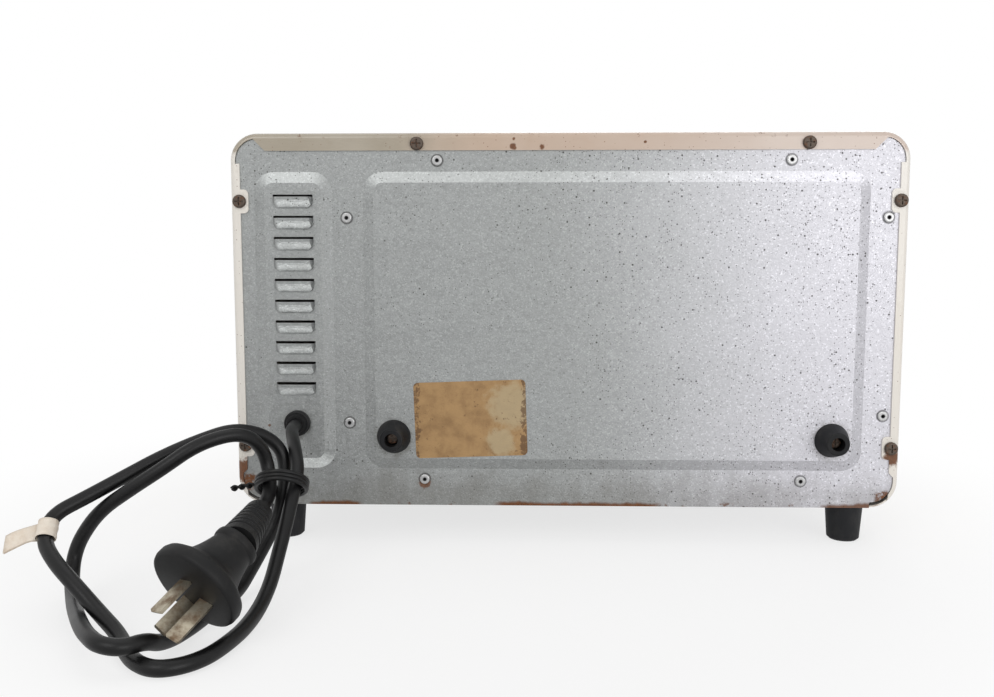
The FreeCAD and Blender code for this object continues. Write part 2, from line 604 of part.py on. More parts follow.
def knobs():
    """Three knobs, each a skirt and a grip bar on a stepped shaft, with the device that it turns."""
    device_y = FRAME_Y + 0.5
    face = CONTROL_FACE_Y - 0.8
    screws = []
    for name, z in KNOB_Z.items():
        skirt = cone_y(KNOB_X, z, KNOB_R - 0.8, KNOB_R, (face - 5.5, face))
        skirt = skirt.makeFillet(1.0, edges_at_y(skirt, face - 5.5))
        dome = cone_y(KNOB_X, z, 11.0, 13.0, (face - 8.0, face - 5.0))
        grip = round_block((KNOB_X - 3.6, KNOB_X + 3.6), (z - 14.0, z + 14.5), 3.2, (face - KNOB_D, face - 4.5))
        grip = grip.makeFillet(1.5, edges_at_y(grip, face - KNOB_D))
        knob = fuse([skirt, dome, grip])
        knob = knob.cut(along_y(KNOB_X, z, SHAFT_R, (face - 12, face + 1)))
        notch = box((KNOB_X - 0.6, KNOB_X + 0.6), (face - KNOB_D - 1, face - KNOB_D + 0.7), (z + 5, z + 16))
        keep(f"{name}_knob", knob.cut(notch))
        keep(f"{name}_shaft", along_y(KNOB_X, z, SHAFT_R, (face - 12, device_y + 1.9)))
        for dx in DEVICE_SCREW_DX:
            head = along_y(KNOB_X + dx, z, 2.6, (CONTROL_FACE_Y - 0.7, CONTROL_FACE_Y - 0.02))
            shank = along_y(KNOB_X + dx, z, 1.5, (CONTROL_FACE_Y - 0.1, device_y + 4))
            screws.append(head.fuse(shank).removeSplitter())
    keep("device_screws", Part.makeCompound(screws))
    devices(device_y)


def devices(y):
    """Thermostat, selector switch and clockwork timer, on the back of the control panel."""
    shaft_hole = SHAFT_R + 0.1

    def mounted(shape, z):
        cuts = [along_y(KNOB_X, z, shaft_hole, (y - 1, y + 2.0))]
        cuts += [along_y(KNOB_X + dx, z, 1.5, (y - 1, y + 4)) for dx in DEVICE_SCREW_DX]
        return shape.cut(cuts)

    z = KNOB_Z["temperature"]
    body = box((KNOB_X - 16, KNOB_X + 16), (y, y + 20), (z - 14, z + 14))
    bulb = rod((KNOB_X - 26, y + 26, z), (KNOB_X - 4, y + 26, z), 3.0)
    strip = box((KNOB_X - 8, KNOB_X - 4), (y + 20, y + 27), (z - 3, z + 3))
    keep("thermostat", mounted(fuse([body, strip, bulb]), z))
    z = KNOB_Z["function"]
    body = box((KNOB_X - 15, KNOB_X + 15), (y, y + 24), (z - 15, z + 15))
    tabs = [box((KNOB_X + dx - 3, KNOB_X + dx + 3), (y + 24, y + 32), (z - 6, z - 5.2)) for dx in (-9, 0, 9)]
    keep("selector_switch", mounted(fuse([body] + tabs), z))
    z = KNOB_Z["timer"]
    body = round_block((KNOB_X - 20, KNOB_X + 20), (z - 20, z + 20), 6.0, (y, y + 26))
    post = along_y(KNOB_X, z, 2.5, (y + 25.5, y + 33))
    keep("timer_clockwork", mounted(fuse([body, post]), z))
    cup = cone_y(KNOB_X, z, 17.0, 12.0, (y + 27, y + 36))
    cup = cup.cut(cone_y(KNOB_X, z, 16.2, 11.2, (y + 26.5, y + 35.2)))
    keep("timer_bell", cup.cut(along_y(KNOB_X, z, 2.5, (y + 20, y + 33.1))))


def indicator():
    lens = along_y(KNOB_X, LAMP_Z, 4.0, (CONTROL_FACE_Y - 1.2, FRAME_Y + 6))
    lens = lens.makeFillet(0.9, edges_at_y(lens, CONTROL_FACE_Y - 1.2))
    collar = along_y(KNOB_X, LAMP_Z, 5.4, (CONTROL_FACE_Y - 0.8, CONTROL_FACE_Y - 0.02))
    lens = lens.fuse(collar).removeSplitter().cut(along_y(KNOB_X, LAMP_Z, 3.0, (FRAME_Y + 1, FRAME_Y + 8)))
    keep("indicator_lens", lens)
    keep("indicator_bulb", along_y(KNOB_X, LAMP_Z, 2.9, (FRAME_Y + 1.5, FRAME_Y + 13)))


# Door


def door():
    """A framed pane that turns on two pins in the round bottom edge of its frame."""
    x = DOOR_X
    slab = box(x, (DOOR_FACE_Y, DOOR_BACK_Y), (HINGE_Z, DOOR_TOP_Z))
    slab = slab.makeFillet(1.6, edges_at_y(slab, DOOR_FACE_Y)[1:])
    roll = rod((x[0], HINGE_Y, HINGE_Z), (x[1], HINGE_Y, HINGE_Z), DOOR_HALF)
    frame = slab.fuse(roll).removeSplitter()
    seat_y = DOOR_FACE_Y + 1.5
    m = WINDOW_MARGIN
    window = round_block(
        (GLASS_X[0] + m, GLASS_X[1] - m), (GLASS_Z[0] + m, GLASS_Z[1] - m), 6.0, (DOOR_FACE_Y - 2, DOOR_BACK_Y + 1)
    )
    gap = 0.3
    seat = box(
        (GLASS_X[0] - gap, GLASS_X[1] + gap), (seat_y, DOOR_BACK_Y + 1), (GLASS_Z[0] - gap, GLASS_Z[1] + gap)
    )
    left_bore = rod((x[0] - 1, HINGE_Y, HINGE_Z), (x[0] + 12, HINGE_Y, HINGE_Z), HINGE_PIN_R)
    right_bore = rod((x[1] - 12, HINGE_Y, HINGE_Z), (x[1] + 1, HINGE_Y, HINGE_Z), HINGE_PIN_R)
    frame = frame.cut([window, seat, left_bore, right_bore])
    legs = (HANDLE_X[0] + 9, HANDLE_X[1] - 9)
    leg_z = GLASS_Z[1] + 4.9
    holes = [along_y(lx, leg_z, 1.6, (DOOR_FACE_Y - 1, DOOR_BACK_Y + 1)) for lx in legs]
    sinks = [along_y(lx, leg_z, 3.2, (DOOR_BACK_Y - 2.4, DOOR_BACK_Y + 1)) for lx in legs]
    keep("door_frame", frame.cut(holes + sinks))
    keep("door_glass", box(GLASS_X, (seat_y + 0.02, seat_y + 4.0), GLASS_Z))
    clips = []
    for cx in (GLASS_X[0] + 30, GLASS_X[1] - 30):
        for z in ((GLASS_Z[0] - 4, GLASS_Z[0] + 5), (GLASS_Z[1] - 5, GLASS_Z[1] + 0.2)):
            clips.append(box((cx - 6, cx + 6), (seat_y + 4.05, seat_y + 5.0), z))
    inside = box(DOOR_X, (seat_y + 4, DOOR_BACK_Y), (GLASS_Z[0] - 0.2, GLASS_Z[1] + 0.2))
    clips = [clip.common(inside) for clip in clips]
    keep("glass_clips", Part.makeCompound(clips))
    ends = [(x[0] + 11.5, x[0] - 6.0), (x[1] - 11.5, x[1] + 4.0)]
    pins = [rod((a, HINGE_Y, HINGE_Z), (b, HINGE_Y, HINGE_Z), HINGE_PIN_R) for a, b in ends]
    keep("door_hinge_pins", Part.makeCompound(pins))
    handle(legs, leg_z)


def handle(legs, leg_z):
    """A moulded bar on two legs, fixed by screws from inside the door."""
    bar_y = (Y_FRONT - FRONT_REACH, Y_FRONT - 31.0)
    z = (leg_z - 9.0, leg_z + 5.0)
    bar = round_block(HANDLE_X, z, 5.0, bar_y)
    bar = bar.makeFillet(3.5, edges_at_y(bar, bar_y[0]) + edges_at_y(bar, bar_y[1]))
    arms = []
    for lx in legs:
        arm = round_block((lx - 8, lx + 8), (leg_z - 4.5, leg_z + 4.5), 3.5, (bar_y[1] - 3, DOOR_FACE_Y - 0.02))
        arms.append(arm)
    grip = fuse([bar] + arms)
    grip = grip.cut([along_y(lx, leg_z, 1.3, (DOOR_FACE_Y - 14, DOOR_FACE_Y + 1)) for lx in legs])
    keep("door_handle", grip)
    screws = []
    for lx in legs:
        head = along_y(lx, leg_z, 3.0, (DOOR_BACK_Y - 2.35, DOOR_BACK_Y - 0.3))
        shank = along_y(lx, leg_z, 1.25, (DOOR_FACE_Y - 12, DOOR_BACK_Y - 2.3))
        screws.append(head.fuse(shank).removeSplitter())
    keep("handle_screws", Part.makeCompound(screws))


# Cord and wiring


def bent_tube(points, radius):
    """A tube of straight runs joined by tangent arcs, each as large as its two runs allow."""
    pts = [V(*p) for p in points]
    edges = []
    here = pts[0]
    radii = []
    for a, b, c in zip(pts, pts[1:], pts[2:]):
        back, on = (a - b), (c - b)
        reach = 0.45 * min(back.Length, on.Length)
        back.normalize()
        on.normalize()
        half = back.getAngle(on) / 2
        radii.append(reach * math.tan(half))
        start, end = b + back * reach, b + on * reach
        middle = back + on
        middle.normalize()
        bulge = b + middle * (reach / math.cos(half) - radii[-1])
        edges.append(Part.makeLine(here, start))
        edges.append(Part.Arc(start, bulge, end).toShape())
        here = end
    edges.append(Part.makeLine(here, pts[-1]))
    path = Part.Wire(edges)
    section = Part.Wire(Part.makeCircle(radius, pts[0], pts[1] - pts[0]))
    return path.makePipeShell([section], True, False), path.Length, radii


def behind_panel(point):
    return (point[0], point[1] + PANEL_Y, point[2])


def power_cord():
    tube, length, radii = bent_tube([behind_panel(p) for p in CORD_ROUTE], CORD_R)
    keep("power_cord", tube)
    print("cord bend radii:", " ".join(f"{r:.0f}" for r in radii))
    plain = math.pi * CORD_R**2 * length
    print(f"cord length {length:.0f}, volume {tube.Volume / plain:.4f} of its section times that")


def along_plug(start, end, r0, r1):
    """A round piece on the plug's axis, between two distances in front of its face."""
    way = V(*PLUG_WAY)
    way.normalize()
    face = V(*behind_panel(PLUG_FACE))
    if abs(r0 - r1) < 1e-6:
        return Part.makeCylinder(r0, end - start, face + way * start, way)
    return Part.makeCone(r0, r1, end - start, face + way * start, way)


def plug():
    """A moulded plug: a round face, a body that narrows to a collar, and a bent strain relief."""
    disc = along_plug(-6.0, 0.0, PLUG_R, PLUG_R - 0.6)
    shoulder = along_plug(-10.0, -6.0, 13.2, PLUG_R)
    body = along_plug(-PLUG_BACK, -9.5, 9.4, 13.4)
    collar = along_plug(-PLUG_BACK - 1.5, -PLUG_BACK + 2.5, 9.8, 9.8)
    way = V(*PLUG_WAY)
    way.normalize()
    back = V(*behind_panel(PLUG_FACE)) - way * PLUG_BACK
    end = V(*behind_panel(CORD_ROUTE[-1]))
    relief = Part.makeCone(8.8, 6.2, (end - back).Length - 1.2, back, end - back)
    body = fuse([disc, shoulder, body, collar, relief])
    keep("plug_body", body)
    keep("plug_pins", Part.makeCompound(plug_pins()))


def plug_pins():
    """Three flat pins: the earth pin stands across from two that slant towards each other."""
    way = V(*PLUG_WAY)
    way.normalize()
    across = V(-0.75, 0.0, -0.66)
    across.normalize()
    up = way.cross(across)
    up.normalize()
    across = up.cross(way)
    turn = math.radians(25)
    earth_way = across * math.cos(turn) + up * math.sin(turn)
    side_way = up * math.cos(turn) - across * math.sin(turn)
    centre = V(*behind_panel(PLUG_FACE)) - across * 1.5 - up * 3.8
    pins = []
    for offset, slant, length in (
        (earth_way * 9.8, 0, 20.0),
        (side_way * 6.9, 30, 17.0),
        (side_way * -6.9, -30, 17.0),
    ):
        a = math.radians(slant)
        flat = earth_way * math.cos(a) + side_way * math.sin(a)
        thick = way.cross(flat)
        pin = Part.makeBox(6.35, 1.6, length, V(-3.175, -0.8, 0.02))
        at = centre + offset
        place = FreeCAD.Matrix(
            flat.x, thick.x, way.x, at.x, flat.y, thick.y, way.y, at.y, flat.z, thick.z, way.z, at.z, 0, 0, 0, 1
        )
        pins.append(pin.makeChamfer(0.6, edges_far(pin, length)).transformGeometry(place))
    return pins


def edges_far(pin, length):
    """The pin's edges round its tip."""
    return [e for e in pin.Edges if all(abs(v.Z - length - 0.02) < 1e-6 for v in e.Vertexes)]


def cord_tie():
    """A wire tie: a double hoop round the three strands, with a twisted tail."""
    hoops = []
    slope = V(0, 0.6, -0.8)
    for shift in (-0.9, 0.9):
        centre = V(*behind_panel(TIE)) + slope * shift
        hoops.append(Part.makeTorus(TIE_R, 1.2, centre, slope))
    start = V(*behind_panel(TIE)) + V(TIE_R, 0, 0)
    bend = start + V(5.0, 3.0, 1.0)
    end = start + V(13.0, 8.0, 0.0)
    tail = rod(start, bend, 1.3).fuse([Part.makeSphere(1.3, bend), rod(bend, end, 1.3)])
    keep("cord_tie", fuse(hoops + [tail]))


def cord_tag():
    """A blank paper tag wrapped round the cord, its two ends stuck together into a flag."""
    at = V(*behind_panel(TAG))
    along = V(0.13, -0.7, 0.7)
    along.normalize()
    out = V(0.97, 0.15, -0.2)
    sleeve = Part.makeCylinder(4.7, 9.0, at - along * 4.5, along)
    hole = Part.makeCylinder(4.3, 13.0, at - along * 6.5, along)
    thick = along.cross(out)
    thick.normalize()
    out = thick.cross(along)
    flag = Part.makeBox(15.0, 0.4, 8.0, V(4.4, -0.2, -4.0))
    place = FreeCAD.Matrix(
        out.x, thick.x, along.x, at.x, out.y, thick.y, along.y, at.y, out.z, thick.z, along.z, at.z, 0, 0, 0, 1
    )
    keep("cord_tag", sleeve.fuse(flag.transformGeometry(place)).cut(hole))


def wiring():
    """The terminal block behind the timer, with a wire to each device and one to the heaters."""
    block = box((138.0, 162.0), (84.0, 98.0), (34.0, 46.0))
    screws = [rod((x, 91.0, 45.0), (x, 91.0, 49.0), 2.4) for x in (143.0, 150.0, 157.0)]
    foot = box((134.0, 166.0), (84.0, 98.0), (Z_BASE + 0.9, 34.2))
    keep("terminal_block", fuse([block, foot] + screws))
    wires = [
        [(143, 83.9, 40), (143, 60, 40), (138, 20, 60), (141, -30, 105), (141, -58, 124), (141, -72.5, 125.4)],
        [(150, 83.9, 40), (150, 55, 42), (160, 10, 80), (164, -40, 150), (160, -66, 184), (156, -77.3, 187)],
        [(157, 83.9, 40), (157, 50, 40), (174, 10, 50), (173, -40, 56), (169, -66, 59), (166.5, -79.3, 60)],
    ]
    keep("internal_wiring", Part.makeCompound([bent_tube(w, 1.3)[0] for w in wires]))


BUILDERS = [
    outer_shell, rear_panel, base_plate, feet, rear_fixings, spacers, grommet, rating_label,
    cavity_walls, cavity_roof, heaters, wire_rack, baking_tray, crumb_tray,
    front_frame, control_panel, knobs, indicator, door, wiring,
    power_cord, plug, cord_tie, cord_tag,
]


def main():
    for build in BUILDERS:
        build()
    os.makedirs("parts", exist_ok=True)
    for name, shape in NODES.items():
        shape.exportStep(f"parts/{name}.step")
        print(f"{name:20s} {len(shape.Solids):3d} solids, valid {shape.isValid()}, {shape.Volume / 1000:9.2f} cm3")


main()
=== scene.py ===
"""Looks of the compact toaster oven: finishes for its metal, enamel, glass and mouldings, its tied
mains lead, the plug, the wound heaters and the marks on the control panel."""

import math

import bmesh
import bpy
from mathutils import Matrix, Vector

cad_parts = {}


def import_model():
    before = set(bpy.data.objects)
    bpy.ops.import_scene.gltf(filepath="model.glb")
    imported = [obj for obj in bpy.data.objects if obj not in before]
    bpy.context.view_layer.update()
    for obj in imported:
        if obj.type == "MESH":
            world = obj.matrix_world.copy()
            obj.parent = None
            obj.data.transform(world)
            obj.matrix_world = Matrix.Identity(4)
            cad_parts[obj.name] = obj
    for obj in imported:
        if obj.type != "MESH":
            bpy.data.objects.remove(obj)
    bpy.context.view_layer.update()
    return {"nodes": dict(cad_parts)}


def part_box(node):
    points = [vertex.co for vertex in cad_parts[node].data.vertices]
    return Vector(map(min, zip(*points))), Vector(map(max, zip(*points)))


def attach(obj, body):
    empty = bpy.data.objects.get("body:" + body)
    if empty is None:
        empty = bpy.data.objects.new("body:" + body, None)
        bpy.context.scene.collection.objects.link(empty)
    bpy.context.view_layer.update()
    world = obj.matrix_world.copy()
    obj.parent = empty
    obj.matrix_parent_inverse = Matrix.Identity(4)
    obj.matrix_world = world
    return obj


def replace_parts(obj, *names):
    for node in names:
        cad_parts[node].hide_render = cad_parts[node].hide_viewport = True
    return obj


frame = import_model()

MM = 0.001
PANEL_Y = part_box("outer_shell")[1].y - 0.8 * MM  # outer face of the rear panel
SHELL_LOW, SHELL_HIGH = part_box("outer_shell")

# The lead's route: x, distance behind the rear panel, z
CORD_ROUTE = [
    (0.150, -0.008, 0.068), (0.150, 0.016, 0.068), (0.146, 0.032, 0.067), (0.141, 0.046, 0.062),
    (0.137, 0.057, 0.053), (0.138, 0.067, 0.042), (0.139, 0.076, 0.031), (0.140, 0.088, 0.020),
    (0.140, 0.102, 0.011), (0.141, 0.118, 0.005), (0.142, 0.138, 0.0036), (0.145, 0.155, 0.0036),
    (0.149, 0.167, 0.0036), (0.156, 0.175, 0.0036), (0.165, 0.178, 0.0036), (0.174, 0.173, 0.0036),
    (0.183, 0.162, 0.0036), (0.190, 0.150, 0.005), (0.204, 0.139, 0.011), (0.217, 0.133, 0.021),
    (0.230, 0.124, 0.028), (0.240, 0.113, 0.034), (0.240, 0.104, 0.043), (0.228, 0.095, 0.049),
    (0.213, 0.086, 0.057), (0.198, 0.078, 0.065), (0.183, 0.068, 0.071), (0.169, 0.059, 0.075),
    (0.157, 0.050, 0.071), (0.149, 0.045, 0.063), (0.146, 0.047, 0.053), (0.145, 0.056, 0.042),
    (0.146, 0.064, 0.031), (0.151, 0.069, 0.020), (0.155, 0.080, 0.011), (0.158, 0.095, 0.0036),
    (0.162, 0.113, 0.0036), (0.164, 0.131, 0.0036), (0.168, 0.147, 0.0036), (0.170, 0.159, 0.006),
    (0.1715, 0.170, 0.0115), (0.177, 0.178, 0.012), (0.186, 0.178, 0.013), (0.194, 0.170, 0.013),
    (0.204, 0.155, 0.011), (0.219, 0.129, 0.0075), (0.230, 0.108, 0.0065), (0.235, 0.098, 0.011),
    (0.237, 0.091, 0.019), (0.233, 0.091, 0.029), (0.223, 0.092, 0.042), (0.207, 0.093, 0.053),
    (0.193, 0.091, 0.062), (0.179, 0.086, 0.072), (0.165, 0.078, 0.076), (0.157, 0.072, 0.074),
    (0.153, 0.064, 0.066), (0.151, 0.062, 0.057), (0.149, 0.066, 0.049), (0.148, 0.073, 0.044),
    (0.149, 0.081, 0.041), (0.1484, 0.0895, 0.041),
]
CORD_R = 3.4 * MM
PLUG_FACE = Vector((0.1575, PANEL_Y + 0.155, 0.0265))
PLUG_WAY = Vector((0.45, 0.76, -0.47)).normalized()
PLUG_BACK = 26 * MM
TIE = Vector((0.1443, PANEL_Y + 0.0616, 0.0478))
TIE_AXIS = Vector((0, 0.6, -0.8))
TAG = Vector((0.2397, PANEL_Y + 0.1096, 0.0374))
TAG_AXIS = Vector((0.13, -0.7, 0.7)).normalized()


# Shader helpers


class Value:
    """A number that flows through a material, so that maths on it reads as maths."""

    def __init__(self, finish, socket):
        self.finish = finish
        self.socket = socket

    def maths(self, operation, a, b):
        return self.finish.node("ShaderNodeMath", {"operation": operation}, {0: a, 1: b})

    def __add__(self, other):
        return self.maths("ADD", self, other)

    def __radd__(self, other):
        return self.maths("ADD", other, self)

    def __sub__(self, other):
        return self.maths("SUBTRACT", self, other)

    def __rsub__(self, other):
        return self.maths("SUBTRACT", other, self)

    def __mul__(self, other):
        return self.maths("MULTIPLY", self, other)

    def __rmul__(self, other):
        return self.maths("MULTIPLY", other, self)



class Finish:
    """One material: a Principled surface whose changing inputs come from maths on object coordinates."""

    def __init__(self, name):
        self.material = bpy.data.materials.new(name)
        self.material.use_nodes = True
        self.tree = self.material.node_tree
        self.surface = self.tree.nodes["Principled BSDF"]
        self.coords = self.node("ShaderNodeTexCoord", {}, {}, "Object")

    def node(self, kind, settings, values, output=0):
        """Adds a node: its settings first, then its sockets, by name or number."""
        made = self.tree.nodes.new(kind)
        for key, setting in settings.items():
            if key == "stops":
                ramp = made.color_ramp
                while len(ramp.elements) < len(setting):
                    ramp.elements.new(0.5)
                for element, (place, colour) in zip(ramp.elements, setting):
                    element.position = place
                    element.color = (*colour, 1)
            else:
                setattr(made, key, setting)
        for key, value in values.items():
            self.feed(made.inputs[key], value)
        return Value(self, made.outputs[output])

    def feed(self, socket, value):
        if isinstance(value, Value):
            self.tree.links.new(value.socket, socket)
        elif isinstance(value, (tuple, list)) and socket.type == "RGBA":
            socket.default_value = (*value, 1)
        else:
            socket.default_value = value

    def along(self, axis):
        """One coordinate, x, y or z, in metres."""
        return self.node("ShaderNodeSeparateXYZ", {}, {0: self.coords}, "XYZ".index(axis.upper()))

    def stretched(self, scale):
        return self.node("ShaderNodeMapping", {}, {"Vector": self.coords, "Scale": scale})

    def noise(self, scale, detail=3.0, roughness=0.55, stretch=(1, 1, 1)):
        where = self.stretched(stretch)
        values = {"Vector": where, "Scale": scale, "Detail": detail, "Roughness": roughness}
        return self.node("ShaderNodeTexNoise", {}, values)

    def cells(self, scale, output="Distance", stretch=(1, 1, 1)):
        values = {"Vector": self.stretched(stretch), "Scale": scale}
        return self.node("ShaderNodeTexVoronoi", {}, values, output)

    def grain(self, scale, stretch=(1, 1, 1)):
        """A number from 0 to 1 that differs from cell to cell."""
        colour = self.cells(scale, "Color", stretch)
        return self.node("ShaderNodeSeparateColor", {}, {0: colour})

    def step(self, value, low, high):
        """Rises smoothly from 0 at low to 1 at high."""
        values = {"Value": value, "From Min": low, "From Max": high}
        return self.node("ShaderNodeMapRange", {"interpolation_type": "SMOOTHSTEP"}, values)

    def fall(self, value, low, high):
        return 1 - self.step(value, low, high)

    def larger(self, a, b):
        return self.node("ShaderNodeMath", {"operation": "MAXIMUM"}, {0: a, 1: b})

    def away(self, point, stretch=(1, 1, 1)):
        """Distance in metres from a point, with each axis weighted."""
        offset = self.node("ShaderNodeVectorMath", {"operation": "SUBTRACT"}, {0: self.coords, 1: point})
        values = {0: offset, 1: stretch}
        weighted = self.node("ShaderNodeVectorMath", {"operation": "MULTIPLY"}, values)
        return self.node("ShaderNodeVectorMath", {"operation": "LENGTH"}, {0: weighted}, "Value")

    def mix(self, factor, a, b):
        values = {"Factor": factor, 6: a, 7: b}
        return self.node("ShaderNodeMix", {"data_type": "RGBA"}, values, 2)

    def shade(self, colour, factor):
        """A colour made lighter or darker by a number."""
        grey = self.node("ShaderNodeCombineColor", {}, {0: factor, 1: factor, 2: factor})
        values = {"Factor": 1.0, 6: colour, 7: grey}
        return self.node("ShaderNodeMix", {"data_type": "RGBA", "blend_type": "MULTIPLY"}, values, 2)

    def bump(self, height, distance, strength=1.0):
        values = {"Height": height, "Distance": distance, "Strength": strength}
        return self.node("ShaderNodeBump", {}, values, "Normal")

    def paint(self, **inputs):
        """Sets the surface's inputs; base_color becomes Base Color, and so on."""
        for key, value in inputs.items():
            name = key.replace("_", " ").title().replace("Ior", "IOR")
            self.feed(self.surface.inputs[name], value)
        return self.material


def srgb(r, g, b):
    """A colour given from 0 to 255, as the linear values that a shader takes."""
    return tuple(((c / 255 + 0.055) / 1.055) ** 2.4 if c > 10 else c / 3295 for c in (r, g, b))


RUST_LIGHT = srgb(138, 88, 52)
RUST_DARK = srgb(56, 38, 29)


# Finishes


def rust_over(f, mask, colour, rough, metal=None):
    """Lays patchy rust over a finish where the mask is high."""
    patch = f.noise(900, 5, 0.7)
    tone = f.mix(patch, RUST_DARK, RUST_LIGHT)
    base = f.mix(mask, colour, tone)
    roughness = rough + mask * 0.45
    if metal is None:
        return base, roughness
    return base, roughness, metal * (1 - mask)


def galvanised(name, rusty):
    """Hot-dip zinc: small frosty spangles, smudges and dark specks, with painted glints and a painted highlight
    that makes it paler towards -X.
    """
    f = Finish(name)
    spangle = f.grain(620, (0.8, 1, 1))
    fine = f.grain(1500)
    crystal = f.noise(1100, 4, 0.75)
    cloud = f.noise(12, 4, 0.6)
    smear = f.noise(60, 4, 0.6, (0.35, 1, 1))
    # Painted glints: the brightest grains are lightened, more so where the painted highlight lies.
    painted_glint = f.step(fine, 0.86, 0.97)
    # Painted highlight: paler and slightly bluer towards -X, standing for light reflected off that side of the
    # zinc.
    painted_highlight = f.fall(f.along("x") + cloud * 0.05, -0.13, 0.05)
    brightness = 0.24 + spangle * 0.07 + fine * 0.08 + crystal * 0.22 + cloud * 0.05 + smear * 0.04
    brightness = brightness + painted_glint * (0.06 + painted_highlight * 0.12) + painted_highlight * 0.30
    if rusty:
        # Painted light and shade on the pressed slopes of the rear panel.
        brightness = brightness * slopes(f)
    colour = f.shade(f.mix(painted_highlight, srgb(211, 214, 213), srgb(219, 218, 224)), brightness)
    rough = 0.34 + spangle * 0.12 + crystal * 0.10 + cloud * 0.10
    aside = f.fall(f.along("x"), -0.15, 0.09)
    high = f.step(f.along("z"), 0.14, 0.21)
    crowd = f.noise(30, 3, 0.6) + aside * 0.34 + high * 0.16
    speck = f.fall(f.cells(420), 0.12, 0.30) * f.step(f.grain(420) + crowd * 0.5, 1.24, 1.30)
    pit = f.fall(f.cells(900), 0.15, 0.4) * f.step(f.grain(900) + crowd * 0.5, 1.18, 1.26)
    dirt = f.larger(speck, pit * 0.85)
    colour = f.mix(dirt * 0.8, colour, srgb(58, 54, 50))
    rough = rough + dirt * 0.3
    metal = 0.82 - cloud * 0.1
    if rusty:
        mask = panel_rust(f)
        grime = panel_grime(f)
        colour = f.mix(grime, colour, srgb(96, 92, 84))
        colour = f.mix(rivet_rings(f), colour, srgb(44, 41, 40))
        colour, rough, metal = rust_over(f, mask, colour, rough, metal)
    height = spangle * 0.3 + fine * 0.5 + crystal * 0.6
    normal = f.bump(height, 0.00014, 0.7)
    return f.paint(base_color=colour, roughness=rough, metallic=metal, normal=normal)


def slopes(f):
    """Painted light and shade on the pressed slopes: lighter facing up and on the down-facing parts of the
    louvres, darker facing -X and facing down, a little lighter facing +X.
    """
    facing = f.node("ShaderNodeNewGeometry", {}, {}, "True Normal")
    across = f.node("ShaderNodeSeparateXYZ", {}, {0: facing}, 0)
    up = f.node("ShaderNodeSeparateXYZ", {}, {0: facing}, 2)
    vents = strip(f, "x", 0.130, 0.158, 0.002)
    slope_highlight = f.step(up, 0.10, 0.40) * 0.50 + f.fall(up, -0.30, -0.04) * vents * 1.1
    slope_shade = f.fall(across, -0.55, -0.12) * 0.34 + f.step(across, 0.12, 0.55) * -0.10
    return 1 + slope_highlight - slope_shade - f.fall(up, -0.55, -0.12) * (1 - vents) * 0.14


def spots(f, places, edge):
    """Ragged round spots at (x, z) with a radius, on a face seen from behind."""
    rag = f.noise(edge, 4, 0.65)
    mask = None
    for x, z, radius in places:
        away = f.away((x, 0, z), (1, 0, 1)) + rag * radius * 1.1 - radius * 0.55
        spot = f.fall(away, radius * 0.55, radius)
        mask = spot if mask is None else f.larger(mask, spot)
    return mask


def strip(f, axis, low, high, fade):
    """1 between low and high along an axis, fading outside."""
    where = f.along(axis)
    return f.step(where, low - fade, low) * f.fall(where, high, high + fade)


def panel_rust(f):
    """Rust along the lower edge, at the corners and round two screws of the rear panel."""
    floor_z = SHELL_LOW.z
    rag = f.noise(240, 5, 0.7)
    reach = f.noise(70, 3, 0.6, (1, 1, 0.2))
    up = f.along("z") - floor_z - reach * 0.006 + 0.0022
    low_edge = f.fall(up, 0.0002, 0.0022)
    runs = f.larger(strip(f, "x", 0.118, 0.142, 0.004), strip(f, "x", -0.048, 0.034, 0.008))
    runs = f.larger(runs, strip(f, "x", -0.176, -0.148, 0.008) * 0.9)
    runs = f.larger(runs, f.step(rag, 0.56, 0.66) * 0.8)
    bottom = low_edge * runs
    corners = spots(f, [(0.178, 0.034, 0.006), (-0.180, 0.055, 0.004), (-0.1775, 0.0262, 0.006)], 330)
    nuts = spots(f, [(0.079, 0.034, 0.0042), (0.166, 0.0665, 0.0010)], 600)
    return f.larger(f.larger(bottom, corners * f.step(rag, 0.36, 0.5)), nuts * 0.85)


RIVETS = [(0.071, 0.213), (-0.121, 0.213), (0.121, 0.182), (-0.174, 0.182), (0.121, 0.068), (-0.175, 0.073),
          (0.079, 0.036), (-0.131, 0.036)]


def panel_grime(f):
    """Dull dust in the corner of the raised field and under the fixings."""
    low = f.fall(f.along("z"), 0.024, 0.055)
    cloud = f.noise(45, 4, 0.6)
    runs = f.noise(160, 3, 0.6, (1, 1, 0.08))
    film = f.step(cloud * 0.6 + low * 0.35 + runs * 0.25, 0.50, 0.85) * 0.4
    seats = spots(f, [(-0.147, 0.0585, 0.0125), (0.096, 0.0592, 0.0125), (0.150, 0.0668, 0.0092)], 300)
    return f.larger(film, seats * 0.45)


def rivet_rings(f):
    """Dirt in the seam round each rivet's flange."""
    rag = f.noise(900, 3, 0.6)
    ring = None
    for x, z in RIVETS:
        away = f.away((x, 0, z), (1, 0, 1)) + rag * 0.0006
        one = f.fall(away, 0.0036, 0.0041)
        ring = one if ring is None else f.larger(ring, one)
    return ring * (0.30 + rag * 0.6)


def rivet_metal():
    """Bright aluminium, with painted shade: a dark, dull disc at the middle of each rivet, standing for its
    shaded hollow.
    """
    f = Finish("rivet_aluminium")
    mottle = f.noise(700, 4, 0.6)
    # Painted shade: the middle of each rivet darkened as if in its hollow.
    bore_shade = None
    for x, z in RIVETS:
        one = f.fall(f.away((x, 0, z), (1, 0, 1)), 0.0009, 0.0014)
        bore_shade = one if bore_shade is None else f.larger(bore_shade, one)
    colour = f.mix(bore_shade * 0.95, f.shade(srgb(190, 190, 190), 0.62 + mottle * 0.5), srgb(12, 12, 12))
    metal = 0.9 - bore_shade * 0.9
    rough = 0.36 + bore_shade * 0.4
    return f.paint(base_color=colour, roughness=rough, metallic=metal, normal=f.bump(mottle, 0.00005))


